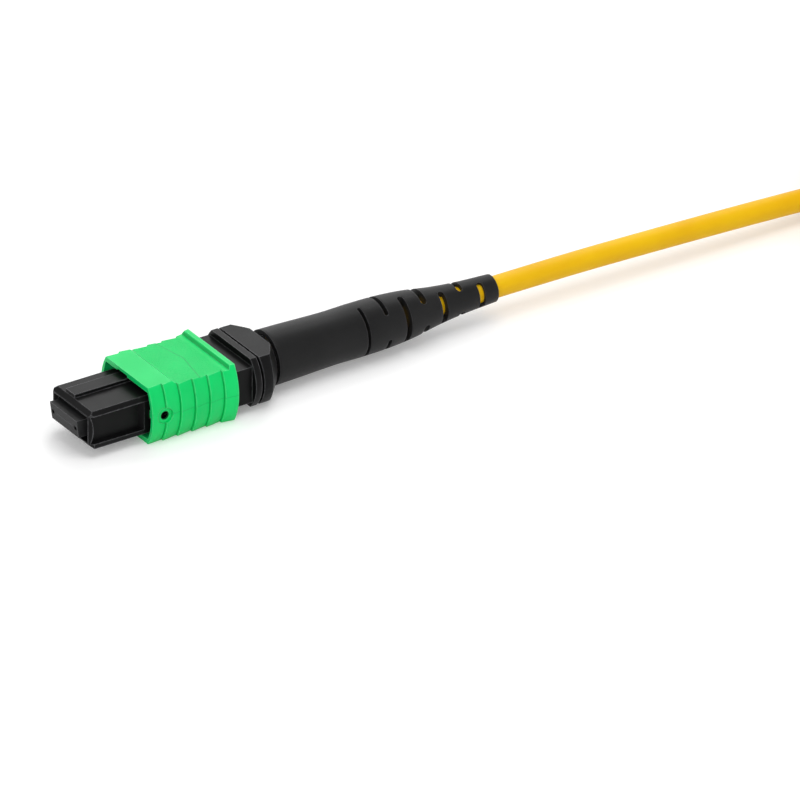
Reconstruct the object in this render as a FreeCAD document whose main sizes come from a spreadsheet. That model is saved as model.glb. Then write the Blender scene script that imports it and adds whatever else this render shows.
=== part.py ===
import FreeCAD, Part
import Sketcher
import math
import os
import re

Vector = FreeCAD.Vector

# Driving dimensions, in millimetres unless the name says otherwise.
# +X runs from the mating face towards the cable, +Z is up, and -Y is the side of the wider latch view.
SIZES = {
    # ferrule, with its slanted face on the origin
    "ferrule_width": 6.4,
    "ferrule_height": 2.5,
    "ferrule_length": 8.0,
    "ferrule_face_angle": 8.0,
    "ferrule_standout": 0.95,
    "flange_width": 7.0,
    "flange_height": 3.0,
    "flange_length": 2.0,
    "guide_pitch": 5.3,
    "guide_bore": 0.55,
    "fibre_count": 16,
    "fibre_pitch": 0.25,
    "fibre_size": 0.125,
    "fibre_reach": 3.6,
    "glue_window_start": 2.6,
    "glue_window_length": 1.9,
    "glue_window_width": 4.4,
    "glue_window_depth": 0.7,
    "socket_depth": 3.0,
    # fibres, ferrule boot, keeper and spring behind the ferrule
    "ribbon_width": 4.1,
    "ribbon_height": 0.3,
    "ribbon_gap": 0.05,
    "ribbon_flat_length": 12.0,
    "bundle_width": 1.7,
    "bundle_height": 0.72,
    "bundle_start": 31.0,
    "ferrule_boot_width": 4.7,
    "ferrule_boot_height": 1.4,
    "ferrule_boot_tail": 2.2,
    "seat_gap": 0.05,
    "keeper_width": 6.9,
    "keeper_height": 2.9,
    "keeper_thickness": 1.6,
    "lip_width": 5.2,
    "lip_height": 1.75,
    "lip_length": 0.7,
    "spring_wire": 0.42,
    "spring_width": 6.4,
    "spring_height": 2.9,
    "spring_turns": 5,
    "spring_stations": 8,
    # inner housing
    "housing_length": 25.25,
    "nose_width": 9.4,
    "nose_height": 5.2,
    "nose_chamfer": 0.58,
    "nose_bevel_length": 0.65,
    "nose_bevel_drop": 0.6,
    "nose_side_bevel": 0.5,
    "mouth_width": 8.1,
    "mouth_flare": 0.5,
    "cavity_width": 7.1,
    "cavity_height": 3.7,
    "ledge_thickness": 1.45,
    "ferrule_clearance": 0.1,
    "flange_gap": 0.05,
    "push_clearance": 0.05,
    "platform_length": 12.25,
    "platform_width": 10.28,
    "ridge_length": 0.95,
    "ridge_height": 7.0,
    "ridge_flat_width": 9.2,
    "ridge_width": 12.2,
    "key_width": 2.1,
    "key_height": 0.5,
    "key_offset": 1.15,
    "key_setback": 0.7,
    "latch_setback": 0.25,
    "latch_length": 7.45,
    "latch_depth": 0.8,
    "latch_ramp": 0.47,
    "latch_bottom": 1.94,
    "latch_top": 2.0,
    "latch_lip_radius": 6.0,
    "channel_length": 7.25,
    "channel_height": 1.24,
    "channel_floor": 3.95,
    "window_start": 1.0,
    "window_length": 2.0,
    "window_width": 3.2,
    # coupling sleeve
    "sleeve_setback": 2.95,
    "sleeve_length": 12.825,
    "sleeve_height": 8.2,
    "sleeve_flat_width": 10.44,
    "sleeve_crest_width": 12.76,
    "sleeve_rim_width": 13.3,
    "band_first": 2.125,
    "band_pitch": 2.215,
    "band_count": 4,
    "band_dip": 0.3,
    "side_sweep": 100.0,
    "front_dip": 0.16,
    "recess_depth": 0.55,
    "recess_start": 3.6,
    "recess_ramp": 0.65,
    "rim_length": 0.66,
    "rim_ramp": 0.24,
    "chevron_side": 7.675,
    "chevron_point": 8.625,
    "chevron_step": 0.1,
    "wide_height": 6.8,
    "wide_flat_width": 10.0,
    "wide_width": 11.5,
    "wide_length": 3.925,
    "keyway_margin": 0.15,
    "keyway_height": 3.65,
    "slide_clearance": 0.1,
    "eye_place": 1.975,
    "eye_size": 1.1,
    "eye_ring": 2.2,
    "eye_ring_depth": 0.12,
    "lug_inset": 0.525,
    "lug_length": 0.85,
    "lug_height": 1.0,
    "lug_gap": 0.1,
    "stop_gap": 0.05,
    "small_wire": 0.22,
    "small_spring_width": 1.06,
    "small_spring_turns": 4,
    "small_spring_stations": 6,
    # spring push, crimp ring and yarn
    "push_insert": 8.7,
    "push_width": 8.4,
    "push_height": 3.9,
    "push_mouth_height": 1.0,
    "seam_gap": 0.35,
    "push_flange_length": 3.15,
    "push_flange_height": 6.86,
    "push_flange_flat_width": 9.3,
    "push_flange_width": 12.2,
    "cone_length": 1.83,
    "cone_small_radius": 4.16,
    "collar_length": 0.7,
    "collar_radius": 3.0,
    "stub_radius": 2.35,
    "stub_length": 5.6,
    "stub_groove_place": 2.0,
    "stub_groove_depth": 0.15,
    "stub_groove_width": 0.8,
    "push_bore_radius": 1.5,
    "tooth_inset": 0.1,
    "tooth_height": 0.4,
    "yarn_thickness": 0.25,
    "crimp_wall": 0.4,
    "crimp_setback": 0.5,
    "crimp_large_length": 5.5,
    "crimp_shoulder_length": 1.0,
    "crimp_small_length": 3.0,
    # boot
    "boot_length": 34.6,
    "boot_front_radius": 3.8,
    "boot_grip_radius": 3.55,
    "boot_waist_place": 8.1,
    "boot_shoulder_place": 18.2,
    "boot_neck_radius": 2.4,
    "boot_neck_place": 26.6,
    "boot_tip_radius": 1.88,
    "boot_clearance": 0.02,
    "cable_clearance": 0.06,
    "slot_first": 13.9,
    "slot_end": 2.4,
    "slot_count": 7,
    "slot_narrow": 0.42,
    "slot_wide": 0.9,
    "slot_growing": 4,
    "slot_half_angle_wide": 66.0,
    "slot_half_angle": 57.0,
    "slot_turn": -14.0,
    # cable, hank and tie
    "cable_diameter": 3.0,
    "cable_bore": 2.0,
    "cable_mouth_depth": 1.2,
    "cable_setback": 0.8,
    "boot_mouth": 0.4,
    "hank_start": 117.0,
    "hank_run": 57.0,
    "hank_loop_radius": 9.0,
    "hank_waist_width": 12.4,
    "hank_waist_length": 16.0,
    "hank_layers": 6,
    "hank_layer_pitch": 3.1,
    "tie_width": 9.0,
    "tie_thickness": 0.8,
    "tie_gap": 0.05,
    # the connector on the cable's other end
    "far_face": 276.5,
}

doc = FreeCAD.newDocument("fibre_connector")
sheet = doc.addObject("Spreadsheet::Sheet", "sizes")
for row, (name, number) in enumerate(SIZES.items(), start=1):
    sheet.set(f"A{row}", name)
    sheet.set(f"B{row}", str(number))
    sheet.setAlias(f"B{row}", name)
doc.recompute()

# Stations along X, and sizes that follow from others, as expressions of the sheet's names.
ledge_rear = "(ferrule_length - flange_length - flange_gap)"
ledge_front = f"({ledge_rear} - ledge_thickness)"
keeper_rear = "(ferrule_length + keeper_thickness)"
housing_front = "(ferrule_standout)"
housing_rear = "(ferrule_standout + housing_length)"
ridge_front = f"({housing_rear} - ridge_length)"
platform_front = f"({ridge_front} - platform_length)"
push_front = f"({housing_rear} - push_insert)"
push_flange_front = f"({housing_rear} + seam_gap)"
push_flange_rear = f"({push_flange_front} + push_flange_length)"
boot_front = f"({push_flange_rear} + collar_length)"
boot_rear = f"({boot_front} + boot_length)"
sleeve_rear = f"({ridge_front} - sleeve_setback)"
sleeve_front = f"({sleeve_rear} - sleeve_length)"
lug_front = f"({sleeve_front} + lug_inset)"
lug_rear = f"({lug_front} + lug_length)"
channel_front = f"({lug_front} - stop_gap)"
channel_rear = f"({channel_front} + channel_length)"
window_front = f"({push_front} + window_start)"
crimp_front = f"({boot_front} + crimp_setback)"
crimp_outer = "(stub_radius + yarn_thickness + crimp_wall)"
crimp_small_outer = "(cable_diameter / 2 + crimp_wall)"
crimp_shoulder_front = f"({crimp_front} + crimp_large_length)"
crimp_shoulder_rear = f"({crimp_shoulder_front} + crimp_shoulder_length)"
crimp_rear = f"({crimp_shoulder_rear} + crimp_small_length)"
slot_pitch = "((boot_length - slot_first - slot_end) / (slot_count - 1))"
cable_start = f"({boot_front} + stub_length + cable_setback)"
cable_mouth = f"({cable_start} + cable_mouth_depth)"
cable_exit = f"({boot_rear} - boot_mouth)"
floor_level = "(-sleeve_height / 2)"
hank_half_width = "(hank_loop_radius + cable_diameter / 2)"
hank_near_centre = f"(hank_start + {hank_half_width})"
hank_far_centre = f"({hank_near_centre} + hank_run)"
hank_end = f"({hank_far_centre} + {hank_half_width})"
hank_middle = f"({hank_near_centre} + hank_run / 2)"
hank_top = f"({floor_level} + cable_diameter + (hank_layers - 1) * hank_layer_pitch + tie_thickness)"


def cells(text):
    """Turns names of driving dimensions into references to the sheet."""
    return re.sub(r"[a-z_]+", lambda m: f"sizes.{m[0]}" if m[0] in SIZES else m[0], str(text))


def value(text):
    return float(sheet.evalExpression(cells(text)))


def bind(thing, name, text):
    thing.setExpression(name, cells(text))


def origin_part(body, role):
    return next(part for part in body.Origin.OriginFeatures if part.Role == role)


def new_body(label):
    body = doc.addObject("PartDesign::Body", label)
    body.Label = label
    return body


def arc_between(start, end, radius, side):
    """The arc from start to end whose centre lies to the left (side 1) or right (side -1)."""
    across = end - start
    middle = (start + end) / 2
    rise = math.sqrt(max(radius**2 - across.Length**2 / 4, 0))
    centre = middle + Vector(-across.y, across.x, 0).normalize() * rise * side
    first, last = (start, end) if side > 0 else (end, start)
    angles = [math.atan2(p.y - centre.y, p.x - centre.x) for p in (first, last)]
    circle = Part.Circle(centre, Vector(0, 0, 1), radius)
    return Part.ArcOfCircle(circle, angles[0], angles[1])


def draw_outline(sketch, corners):
    """Closed outline. A corner is (x, y), or (x, y, radius, side) when an arc leads to it."""
    spots = [Vector(value(c[0]), value(c[1]), 0) for c in corners]
    base = sketch.GeometryCount
    starts, ends = [], []
    for index, spot in enumerate(spots):
        following = (index + 1) % len(spots)
        corner = corners[following]
        number = base + index
        if len(corner) == 2:
            sketch.addGeometry(Part.LineSegment(spot, spots[following]), False)
            starts.append((number, 1))
            ends.append((number, 2))
        else:
            arc = arc_between(spot, spots[following], value(corner[2]), corner[3])
            sketch.addGeometry(arc, False)
            starts.append((number, 1 if corner[3] > 0 else 2))
            ends.append((number, 2 if corner[3] > 0 else 1))
    for index, corner in enumerate(corners):
        previous = ends[index - 1]
        sketch.addConstraint(Sketcher.Constraint("Coincident", *previous, *starts[index]))
        places = (("DistanceX", corner[0], spots[index].x), ("DistanceY", corner[1], spots[index].y))
        for kind, text, place in places:
            added = sketch.addConstraint(Sketcher.Constraint(kind, -1, 1, *starts[index], place))
            bind(sketch, f"Constraints[{added}]", text)
        if len(corner) > 2:
            radius = value(corner[2])
            added = sketch.addConstraint(Sketcher.Constraint("Radius", previous[0], radius))
            bind(sketch, f"Constraints[{added}]", corner[2])


def draw_circle(sketch, x, y, radius):
    ring = Part.Circle(Vector(value(x), value(y), 0), Vector(0, 0, 1), value(radius))
    number = sketch.addGeometry(ring, False)
    for kind, text in (("DistanceX", x), ("DistanceY", y)):
        added = sketch.addConstraint(Sketcher.Constraint(kind, -1, 1, number, 3, value(text)))
        bind(sketch, f"Constraints[{added}]", text)
    added = sketch.addConstraint(Sketcher.Constraint("Radius", number, value(radius)))
    bind(sketch, f"Constraints[{added}]", radius)


def new_sketch(body, name, plane, offset, loops, turn=None):
    """Sketch on one of the body's own planes, moved along its normal (+X, -Y or +Z)."""
    sketch = body.newObject("Sketcher::SketchObject", f"{body.Label}_{name}_outline")
    sketch.AttachmentSupport = [(origin_part(body, plane), "")]
    sketch.MapMode = "FlatFace"
    if turn is not None:
        sketch.AttachmentOffset = FreeCAD.Placement(Vector(), FreeCAD.Rotation(Vector(1, 0, 0), value(turn)))
        bind(sketch, "AttachmentOffset.Rotation.Angle", turn)
    bind(sketch, "AttachmentOffset.Base.z", offset)
    for loop in loops:
        if loop[0] == "circle":
            draw_circle(sketch, *loop[1:])
        else:
            draw_outline(sketch, loop)
    return sketch


def finish_feature(body, feature, adds):
    """Recomputes one feature and stops if it failed or did nothing."""
    before = feature.BaseFeature.Shape.Volume if feature.BaseFeature else 0
    doc.recompute()
    if "Invalid" in feature.State or feature.Shape.isNull():
        raise RuntimeError(f"{feature.Name} failed: {feature.getStatusString()}")
    change = feature.Shape.Volume - before
    if change * (1 if adds else -1) <= 0:
        raise RuntimeError(f"{feature.Name} changed nothing: {change}")
    return feature


def pad(body, name, plane, start, length, *loops):
    """Adds material from start to start + length along the plane's normal."""
    feature = body.newObject("PartDesign::Pad", f"{body.Label}_{name}")
    feature.Profile = new_sketch(body, name, plane, start, loops)
    bind(feature, "Length", length)
    return finish_feature(body, feature, True)


def pocket(body, name, plane, start, length, *loops):
    """Cuts from start to start + length along the plane's normal."""
    feature = body.newObject("PartDesign::Pocket", f"{body.Label}_{name}")
    feature.Profile = new_sketch(body, name, plane, start, loops)
    feature.Reversed = True
    bind(feature, "Length", length)
    return finish_feature(body, feature, False)


def loft(body, name, plane, sections, adds=True):
    """Straight-sided loft between outlines at (offset, loop) stations."""
    kind = "PartDesign::AdditiveLoft" if adds else "PartDesign::SubtractiveLoft"
    feature = body.newObject(kind, f"{body.Label}_{name}")
    outlines = [
        new_sketch(body, f"{name}_{number}", plane, offset, [loop])
        for number, (offset, loop) in enumerate(sections)
    ]
    feature.Profile = outlines[0]
    feature.Sections = outlines[1:]
    feature.Ruled = True
    return finish_feature(body, feature, adds)


def revolve(body, name, *loops):
    """Turns (x, radius) outlines about the X axis."""
    feature = body.newObject("PartDesign::Revolution", f"{body.Label}_{name}")
    sketch = new_sketch(body, name, "XZ_Plane", "0", loops)
    feature.Profile = sketch
    feature.ReferenceAxis = (sketch, ["H_Axis"])
    feature.Angle = 360
    return finish_feature(body, feature, True)


def groove(body, name, *loops, turn="0", angle="360", both_ways=False):
    """Cuts (x, radius) outlines turned about the X axis, over an angle."""
    feature = body.newObject("PartDesign::Groove", f"{body.Label}_{name}")
    sketch = new_sketch(body, name, "XZ_Plane", "0", loops, turn)
    feature.Profile = sketch
    feature.ReferenceAxis = (sketch, ["H_Axis"])
    feature.Midplane = both_ways
    bind(feature, "Angle", angle)
    return finish_feature(body, feature, False)


def groove_beside(body, name, profile, axis_place, angle):
    """Cuts a plan outline turned both ways about a line along X, beside the middle."""
    feature = body.newObject("PartDesign::Groove", f"{body.Label}_{name}")
    sketch = new_sketch(body, name, "XY_Plane", "0", [profile])
    place = value(axis_place)
    line = sketch.addGeometry(Part.LineSegment(Vector(0, place, 0), Vector(1, place, 0)), True)
    sketch.addConstraint(Sketcher.Constraint("Horizontal", line))
    sketch.addConstraint(Sketcher.Constraint("Vertical", -1, 1, line, 1))
    sketch.addConstraint(Sketcher.Constraint("DistanceX", line, 1, line, 2, 1.0))
    added = sketch.addConstraint(Sketcher.Constraint("DistanceY", -1, 1, line, 1, place))
    bind(sketch, f"Constraints[{added}]", axis_place)
    feature.Profile = sketch
    feature.ReferenceAxis = (sketch, ["Axis0"])
    feature.Midplane = True
    bind(feature, "Angle", angle)
    return finish_feature(body, feature, False)


def mirror(body, name, originals):
    """Repeats features on the other side of the XZ plane."""
    feature = body.newObject("PartDesign::Mirrored", f"{body.Label}_{name}")
    feature.Originals = originals
    feature.MirrorPlane = (origin_part(body, "XZ_Plane"), [""])
    body.Tip = feature
    doc.recompute()
    return feature


def row_of(body, name, originals, axis, pitch, count):
    """Repeats features along one of the body's axes."""
    feature = body.newObject("PartDesign::LinearPattern", f"{body.Label}_{name}")
    feature.Originals = originals
    feature.Direction = (origin_part(body, axis), [""])
    feature.Mode = "Spacing"
    bind(feature, "Offset", pitch)
    bind(feature, "Occurrences", count)
    body.Tip = feature
    doc.recompute()
    return feature


def block(low_x, low_y, high_x, high_y):
    return [(low_x, low_y), (high_x, low_y), (high_x, high_y), (low_x, high_y)]


def centred(width, height, middle_x="0", middle_y="0"):
    half_x, half_y = f"({width}) / 2", f"({height}) / 2"
    low = (f"{middle_x} - {half_x}", f"{middle_y} - {half_y}")
    return block(*low, f"{middle_x} + {half_x}", f"{middle_y} + {half_y}")


def oval(width, height):
    """Flat top and bottom with half-round ends."""
    straight, radius = f"(({width} - {height}) / 2)", f"({height} / 2)"
    return [
        (f"-{straight}", f"-{radius}", radius, 1),
        (straight, f"-{radius}"),
        (f"{straight} + {radius}", "0", radius, 1),
        (straight, radius, radius, 1),
        (f"-{straight}", radius),
        (f"-{straight} - {radius}", "0", radius, 1),
    ]


def barrel(flat_width, full_width, height):
    """Flat top and bottom with sides that bulge in one arc."""
    bulge = f"(({full_width} - {flat_width}) / 2)"
    half = f"({height} / 2)"
    radius = f"({half} * {half} + {bulge} * {bulge}) / (2 * {bulge})"
    return [
        (f"-{flat_width} / 2", f"-{half}", radius, 1),
        (f"{flat_width} / 2", f"-{half}"),
        (f"{flat_width} / 2", half, radius, 1),
        (f"-{flat_width} / 2", half),
    ]


def fibre_hexagon(size, y):
    """Six-sided outline of a fibre or its hole, on the middle line."""
    across = f"({size}) / 2"
    ring = [(1, 0), (0.5, 0.866), (-0.5, 0.866), (-1, 0), (-0.5, -0.866), (0.5, -0.866)]
    return [(f"{y} + {a} * {across}", f"{b} * {across}") for a, b in ring]


first_fibre = "(-(fibre_count - 1) * fibre_pitch / 2)"


def build_ferrule(label, with_fibre_holes=True):
    body = new_body(label)
    lead = "(tan(ferrule_face_angle) * ferrule_height / 2)"
    side = [
        (f"-{lead}", "ferrule_height / 2"),
        (lead, "-ferrule_height / 2"),
        ("ferrule_length", "-ferrule_height / 2"),
        ("ferrule_length", "ferrule_height / 2"),
    ]
    pad(body, "block", "XZ_Plane", "-ferrule_width / 2", "ferrule_width", side)
    flange = centred("flange_width", "flange_height")
    pad(body, "flange", "YZ_Plane", "ferrule_length - flange_length", "flange_length", flange)
    guide = [("circle", f"{side} * guide_pitch / 2", "0", "guide_bore / 2") for side in (-1, 1)]
    pocket(body, "guides", "YZ_Plane", f"-{lead} - 1", f"ferrule_length + {lead} + 1", *guide)
    socket = centred("ferrule_boot_width + 2 * seat_gap", "ferrule_boot_height + 2 * seat_gap")
    pocket(body, "socket", "YZ_Plane", "ferrule_length - socket_depth", "socket_depth", socket)
    window_rear = "(glue_window_start + glue_window_length)"
    window = block("glue_window_start", "-glue_window_width / 2", window_rear, "glue_window_width / 2")
    pocket(body, "window", "XY_Plane", "ferrule_height / 2 - glue_window_depth", "glue_window_depth", window)
    ribbon = centred("ribbon_width + 2 * ribbon_gap", "ribbon_height + 2 * ribbon_gap")
    pocket(body, "ribbon_slot", "YZ_Plane", "fibre_reach", "ferrule_length - fibre_reach", ribbon)
    if with_fibre_holes:
        round_hole = fibre_hexagon("fibre_size", first_fibre)
        hole = pocket(body, "fibre_hole", "YZ_Plane", "-fibre_pitch", "fibre_reach + fibre_pitch", round_hole)
        row_of(body, "fibre_holes", [hole], "Y_Axis", "fibre_pitch", "fibre_count")
    return body


def build_ribbon(label):
    """The fibres side by side, squeezed from a flat ribbon into a bundle for the cable."""
    body = new_body(label)
    flat = centred("ribbon_width", "ribbon_height")
    flat_rear = "fibre_reach + ribbon_flat_length"
    pad(body, "flat", "YZ_Plane", "fibre_reach", "ribbon_flat_length", flat)
    bundle = centred("bundle_width", "bundle_height")
    loft(body, "gather", "YZ_Plane", [(flat_rear, flat), ("bundle_start", bundle)])
    pad(body, "bundle", "YZ_Plane", "bundle_start", f"{cable_mouth} - bundle_start", bundle)
    fibre = pad(body, "fibre", "YZ_Plane", "0", "fibre_reach", fibre_hexagon("fibre_size", first_fibre))
    row_of(body, "fibres", [fibre], "Y_Axis", "fibre_pitch", "fibre_count")
    return body


def build_ferrule_boot(label):
    body = new_body(label)
    front = "(ferrule_length - socket_depth + seat_gap)"
    rear = f"({keeper_rear} + ferrule_boot_tail - keeper_thickness)"
    outside = centred("ferrule_boot_width", "ferrule_boot_height")
    pad(body, "sleeve", "YZ_Plane", front, f"{rear} - {front}", outside)
    slot = centred("ribbon_width + 2 * ribbon_gap", "ribbon_height + 2 * ribbon_gap")
    pocket(body, "slot", "YZ_Plane", front, f"{rear} - {front}", slot)
    return body


def build_keeper(label):
    body = new_body(label)
    plate = centred("keeper_width", "keeper_height")
    pad(body, "plate", "YZ_Plane", "ferrule_length", "keeper_thickness", plate)
    pad(body, "lip", "YZ_Plane", keeper_rear, "lip_length", oval("lip_width", "lip_height"))
    window = centred("ferrule_boot_width + 2 * seat_gap", "ferrule_boot_height + 2 * seat_gap")
    pocket(body, "window", "YZ_Plane", "ferrule_length", "keeper_thickness + lip_length", window)
    return body


def build_housing(label):
    body = new_body(label)
    half_width, half_height = "(nose_width / 2)", "(nose_height / 2)"
    nose = [
        (f"-{half_width}", f"-{half_height}"),
        (half_width, f"-{half_height}"),
        (half_width, f"{half_height} - nose_chamfer"),
        (f"{half_width} - nose_chamfer", half_height),
        (f"-{half_width} + nose_chamfer", half_height),
        (f"-{half_width}", f"{half_height} - nose_chamfer"),
    ]
    pad(body, "nose", "YZ_Plane", housing_front, f"{platform_front} - {housing_front}", nose)
    platform = centred("platform_width", "nose_height")
    pad(body, "platform", "YZ_Plane", platform_front, "platform_length", platform)
    ridge = barrel("ridge_flat_width", "ridge_width", "ridge_height")
    pad(body, "ridge", "YZ_Plane", ridge_front, "ridge_length", ridge)
    key = centred("key_width", "2 * key_height", "key_offset", half_height)
    key_front = f"({housing_front} + key_setback)"
    pad(body, "key", "YZ_Plane", key_front, f"{platform_front} - {key_front}", key)
    bevel_rear = f"({housing_front} + nose_bevel_length)"
    for name, side in (("top_bevel", "1"), ("under_bevel", "-1")):
        bevel = [
            (f"{housing_front} - 1", f"{side} * ({half_height} + key_height)"),
            (f"{housing_front} - 1", f"{side} * ({half_height} - nose_bevel_drop)"),
            (housing_front, f"{side} * ({half_height} - nose_bevel_drop)"),
            (bevel_rear, f"{side} * {half_height}"),
            (bevel_rear, f"{side} * ({half_height} + key_height)"),
        ]
        pocket(body, name, "XZ_Plane", f"-{half_width}", "nose_width", bevel)
    side_bevel = [
        (f"{housing_front} - 1", f"-{half_width} - 1"),
        (f"{housing_front} - 1", f"-{half_width} + nose_side_bevel"),
        (housing_front, f"-{half_width} + nose_side_bevel"),
        (bevel_rear, f"-{half_width}"),
        (bevel_rear, f"-{half_width} - 1"),
    ]
    bevel_cut = pocket(body, "side_bevel", "XY_Plane", f"-{half_height}", "nose_height", side_bevel)
    latch_front = f"({housing_front} + latch_setback)"
    latch_rear = f"({latch_front} + latch_length)"
    catch = [
        (latch_front, "latch_top"),
        (latch_front, "-latch_bottom", "latch_lip_radius", -1),
        (latch_rear, "-latch_bottom"),
        (latch_rear, "latch_top"),
    ]
    pocket_cut = pocket(body, "catch", "XZ_Plane", f"{half_width} - latch_depth", "latch_depth", catch)
    ramp_start = f"({latch_rear} - latch_ramp)"
    ramp = [
        (ramp_start, f"-{half_width} + latch_depth"),
        (ramp_start, f"-{half_width}"),
        (f"{latch_rear} + latch_ramp", f"-{half_width}"),
        (latch_rear, f"-{half_width} + latch_depth"),
    ]
    ramp_cut = pocket(body, "catch_ramp", "XY_Plane", "-latch_bottom", "latch_bottom + latch_top", ramp)
    channel = block(channel_front, "-channel_height / 2", channel_rear, "channel_height / 2")
    channel_depth = "(platform_width / 2 - channel_floor)"
    channel_cut = pocket(body, "channel", "XZ_Plane", "channel_floor", channel_depth, channel)
    mirror(body, "sides", [bevel_cut, pocket_cut, ramp_cut, channel_cut])
    cavity = centred("cavity_width", "cavity_height")
    pocket(body, "cavity", "YZ_Plane", housing_front, f"{ledge_front} - {housing_front}", cavity)
    mouth = centred("mouth_width", "cavity_height")
    flare = [(housing_front, mouth), (f"{housing_front} + mouth_flare", cavity)]
    loft(body, "mouth", "YZ_Plane", flare, adds=False)
    passage = centred("ferrule_width + 2 * ferrule_clearance", "ferrule_height + 2 * ferrule_clearance")
    pocket(body, "passage", "YZ_Plane", ledge_front, "ledge_thickness", passage)
    bore = centred("flange_width + 2 * ferrule_clearance", "flange_height + 2 * ferrule_clearance")
    pocket(body, "bore", "YZ_Plane", ledge_rear, f"{push_front} - push_clearance - {ledge_rear}", bore)
    socket = centred("push_width + 2 * push_clearance", "push_height + 2 * push_clearance")
    socket_front = f"({push_front} - push_clearance)"
    pocket(body, "socket", "YZ_Plane", socket_front, f"{housing_rear} - {socket_front}", socket)
    window = block(window_front, "-window_width / 2", f"{window_front} + window_length", "window_width / 2")
    pocket(body, "windows", "XY_Plane", f"-{half_height}", "nose_height", window)
    return body


def build_sleeve(label, bands):
    """Grip with sawtooth bands down its bulging sides, a sunk top panel and a raised rear rim."""
    body = new_body(label)
    half_rim = "(sleeve_rim_width / 2)"
    crest = "(sleeve_crest_width / 2)"
    top = "(sleeve_height / 2)"
    outside = centred("sleeve_rim_width", "sleeve_height")
    pad(body, "block", "YZ_Plane", sleeve_front, "sleeve_length", outside)
    bulge = f"({crest} - sleeve_flat_width / 2)"
    side_radius = f"(({top} * {top} + {bulge} * {bulge}) / (2 * {bulge}))"
    profile = [(sleeve_front, f"{crest} - front_dip")]
    for number in range(bands + 1):
        step = f"({sleeve_front} + band_first + {number} * band_pitch)"
        profile += [(step, f"{crest} - band_dip"), (step, crest)]
    profile += [(sleeve_rear, half_rim), (sleeve_rear, f"{half_rim} + 1"), (sleeve_front, f"{half_rim} + 1")]
    saw = groove_beside(body, "bands", profile, f"({crest} - {side_radius})", "side_sweep")
    mirror(body, "far_bands", [saw])

    panel = f"({top} - recess_depth + chevron_step)"
    rim_front = f"({sleeve_rear} - rim_length)"
    recess_front = f"({sleeve_front} + recess_start)"
    recess = [
        (recess_front, top),
        (f"{recess_front} + recess_ramp", panel),
        (f"{rim_front} - rim_ramp", panel),
        (rim_front, top),
        (rim_front, f"{top} + 1"),
        (recess_front, f"{top} + 1"),
    ]
    pocket(body, "recess", "XZ_Plane", "-sleeve_rim_width / 2", "sleeve_rim_width", recess)
    half_flat = "(sleeve_flat_width / 2)"
    chevron = [
        (f"{sleeve_front} + chevron_side", f"-{half_rim}"),
        (f"{rim_front} - rim_ramp", f"-{half_rim}"),
        (f"{rim_front} - rim_ramp", half_rim),
        (f"{sleeve_front} + chevron_side", half_rim),
        (f"{sleeve_front} + chevron_side", half_flat),
        (f"{sleeve_front} + chevron_point", "0"),
        (f"{sleeve_front} + chevron_side", f"-{half_flat}"),
    ]
    pocket(body, "chevron", "XY_Plane", f"{top} - recess_depth", "chevron_step", chevron)

    wide = barrel("wide_flat_width", "wide_width", "wide_height")
    pocket(body, "wide_cavity", "YZ_Plane", sleeve_front, "wide_length", wide)
    key_side = "(key_width / 2 + keyway_margin)"
    keyway = block(f"key_offset - {key_side}", "0", f"key_offset + {key_side}", "keyway_height")
    pocket(body, "keyway", "YZ_Plane", sleeve_front, "wide_length", keyway)
    narrow = centred("platform_width + 2 * slide_clearance", "nose_height + 2 * slide_clearance")
    pocket(body, "narrow_cavity", "YZ_Plane", sleeve_front, "sleeve_length", narrow)
    eye = f"({sleeve_front} + eye_place)"
    eye_cut = pocket(body, "eye", "XZ_Plane", "0", half_rim, ("circle", eye, "0", "eye_size / 2"))
    ring_floor = "(sleeve_crest_width / 2 - band_dip - eye_ring_depth)"
    ring = ("circle", eye, "0", "eye_ring / 2")
    ring_cut = pocket(body, "eye_ring", "XZ_Plane", ring_floor, f"{half_rim} - {ring_floor}", ring)
    mirror(body, "eyes", [eye_cut, ring_cut])
    lug_reach = "(channel_floor + lug_gap)"
    lug = block(lug_front, "-lug_height / 2", lug_rear, "lug_height / 2")
    lug_pad = pad(body, "lug", "XZ_Plane", lug_reach, f"wide_width / 2 + slide_clearance - {lug_reach}", lug)
    mirror(body, "lugs", [lug_pad])
    return body


def coil_spring(label, start, end, width, height, wire, turns, steps, centre_y="0"):
    """Closed-end coil of square wire: straight spans between stations around an oval or round turn."""
    first, last = value(start), value(end)
    thick = value(wire)
    radius = (value(height) - thick) / 2
    straight = (value(width) - value(height)) / 2
    middle = value(centre_y)
    stations = int(value(steps))
    closed_pitch = thick * 1.08
    active = int(value(turns))
    open_pitch = (last - first - thick - 2 * closed_pitch) / active
    sections = []
    for step in range((active + 2) * stations + 1):
        around = step / stations
        x = first + thick / 2
        x += closed_pitch * (min(around, 1) + max(around - active - 1, 0))
        x += open_pitch * min(max(around - 1, 0), active)
        angle = 2 * math.pi * (around + 0.5 / stations)
        out = Vector(0, math.cos(angle), math.sin(angle))
        spot = Vector(x, middle + math.copysign(straight, out.y), 0) + out * radius
        corners = [(-1, -1), (1, -1), (1, 1), (-1, 1)]
        ring = [spot + Vector(a * thick / 2, 0, 0) + out * (b * thick / 2) for a, b in corners]
        sections.append(Part.makePolygon(ring + ring[:1]))
    spring = doc.addObject("Part::Feature", label)
    spring.Label = label
    spring.Shape = Part.makeLoft(sections, True, True)
    return spring


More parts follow.
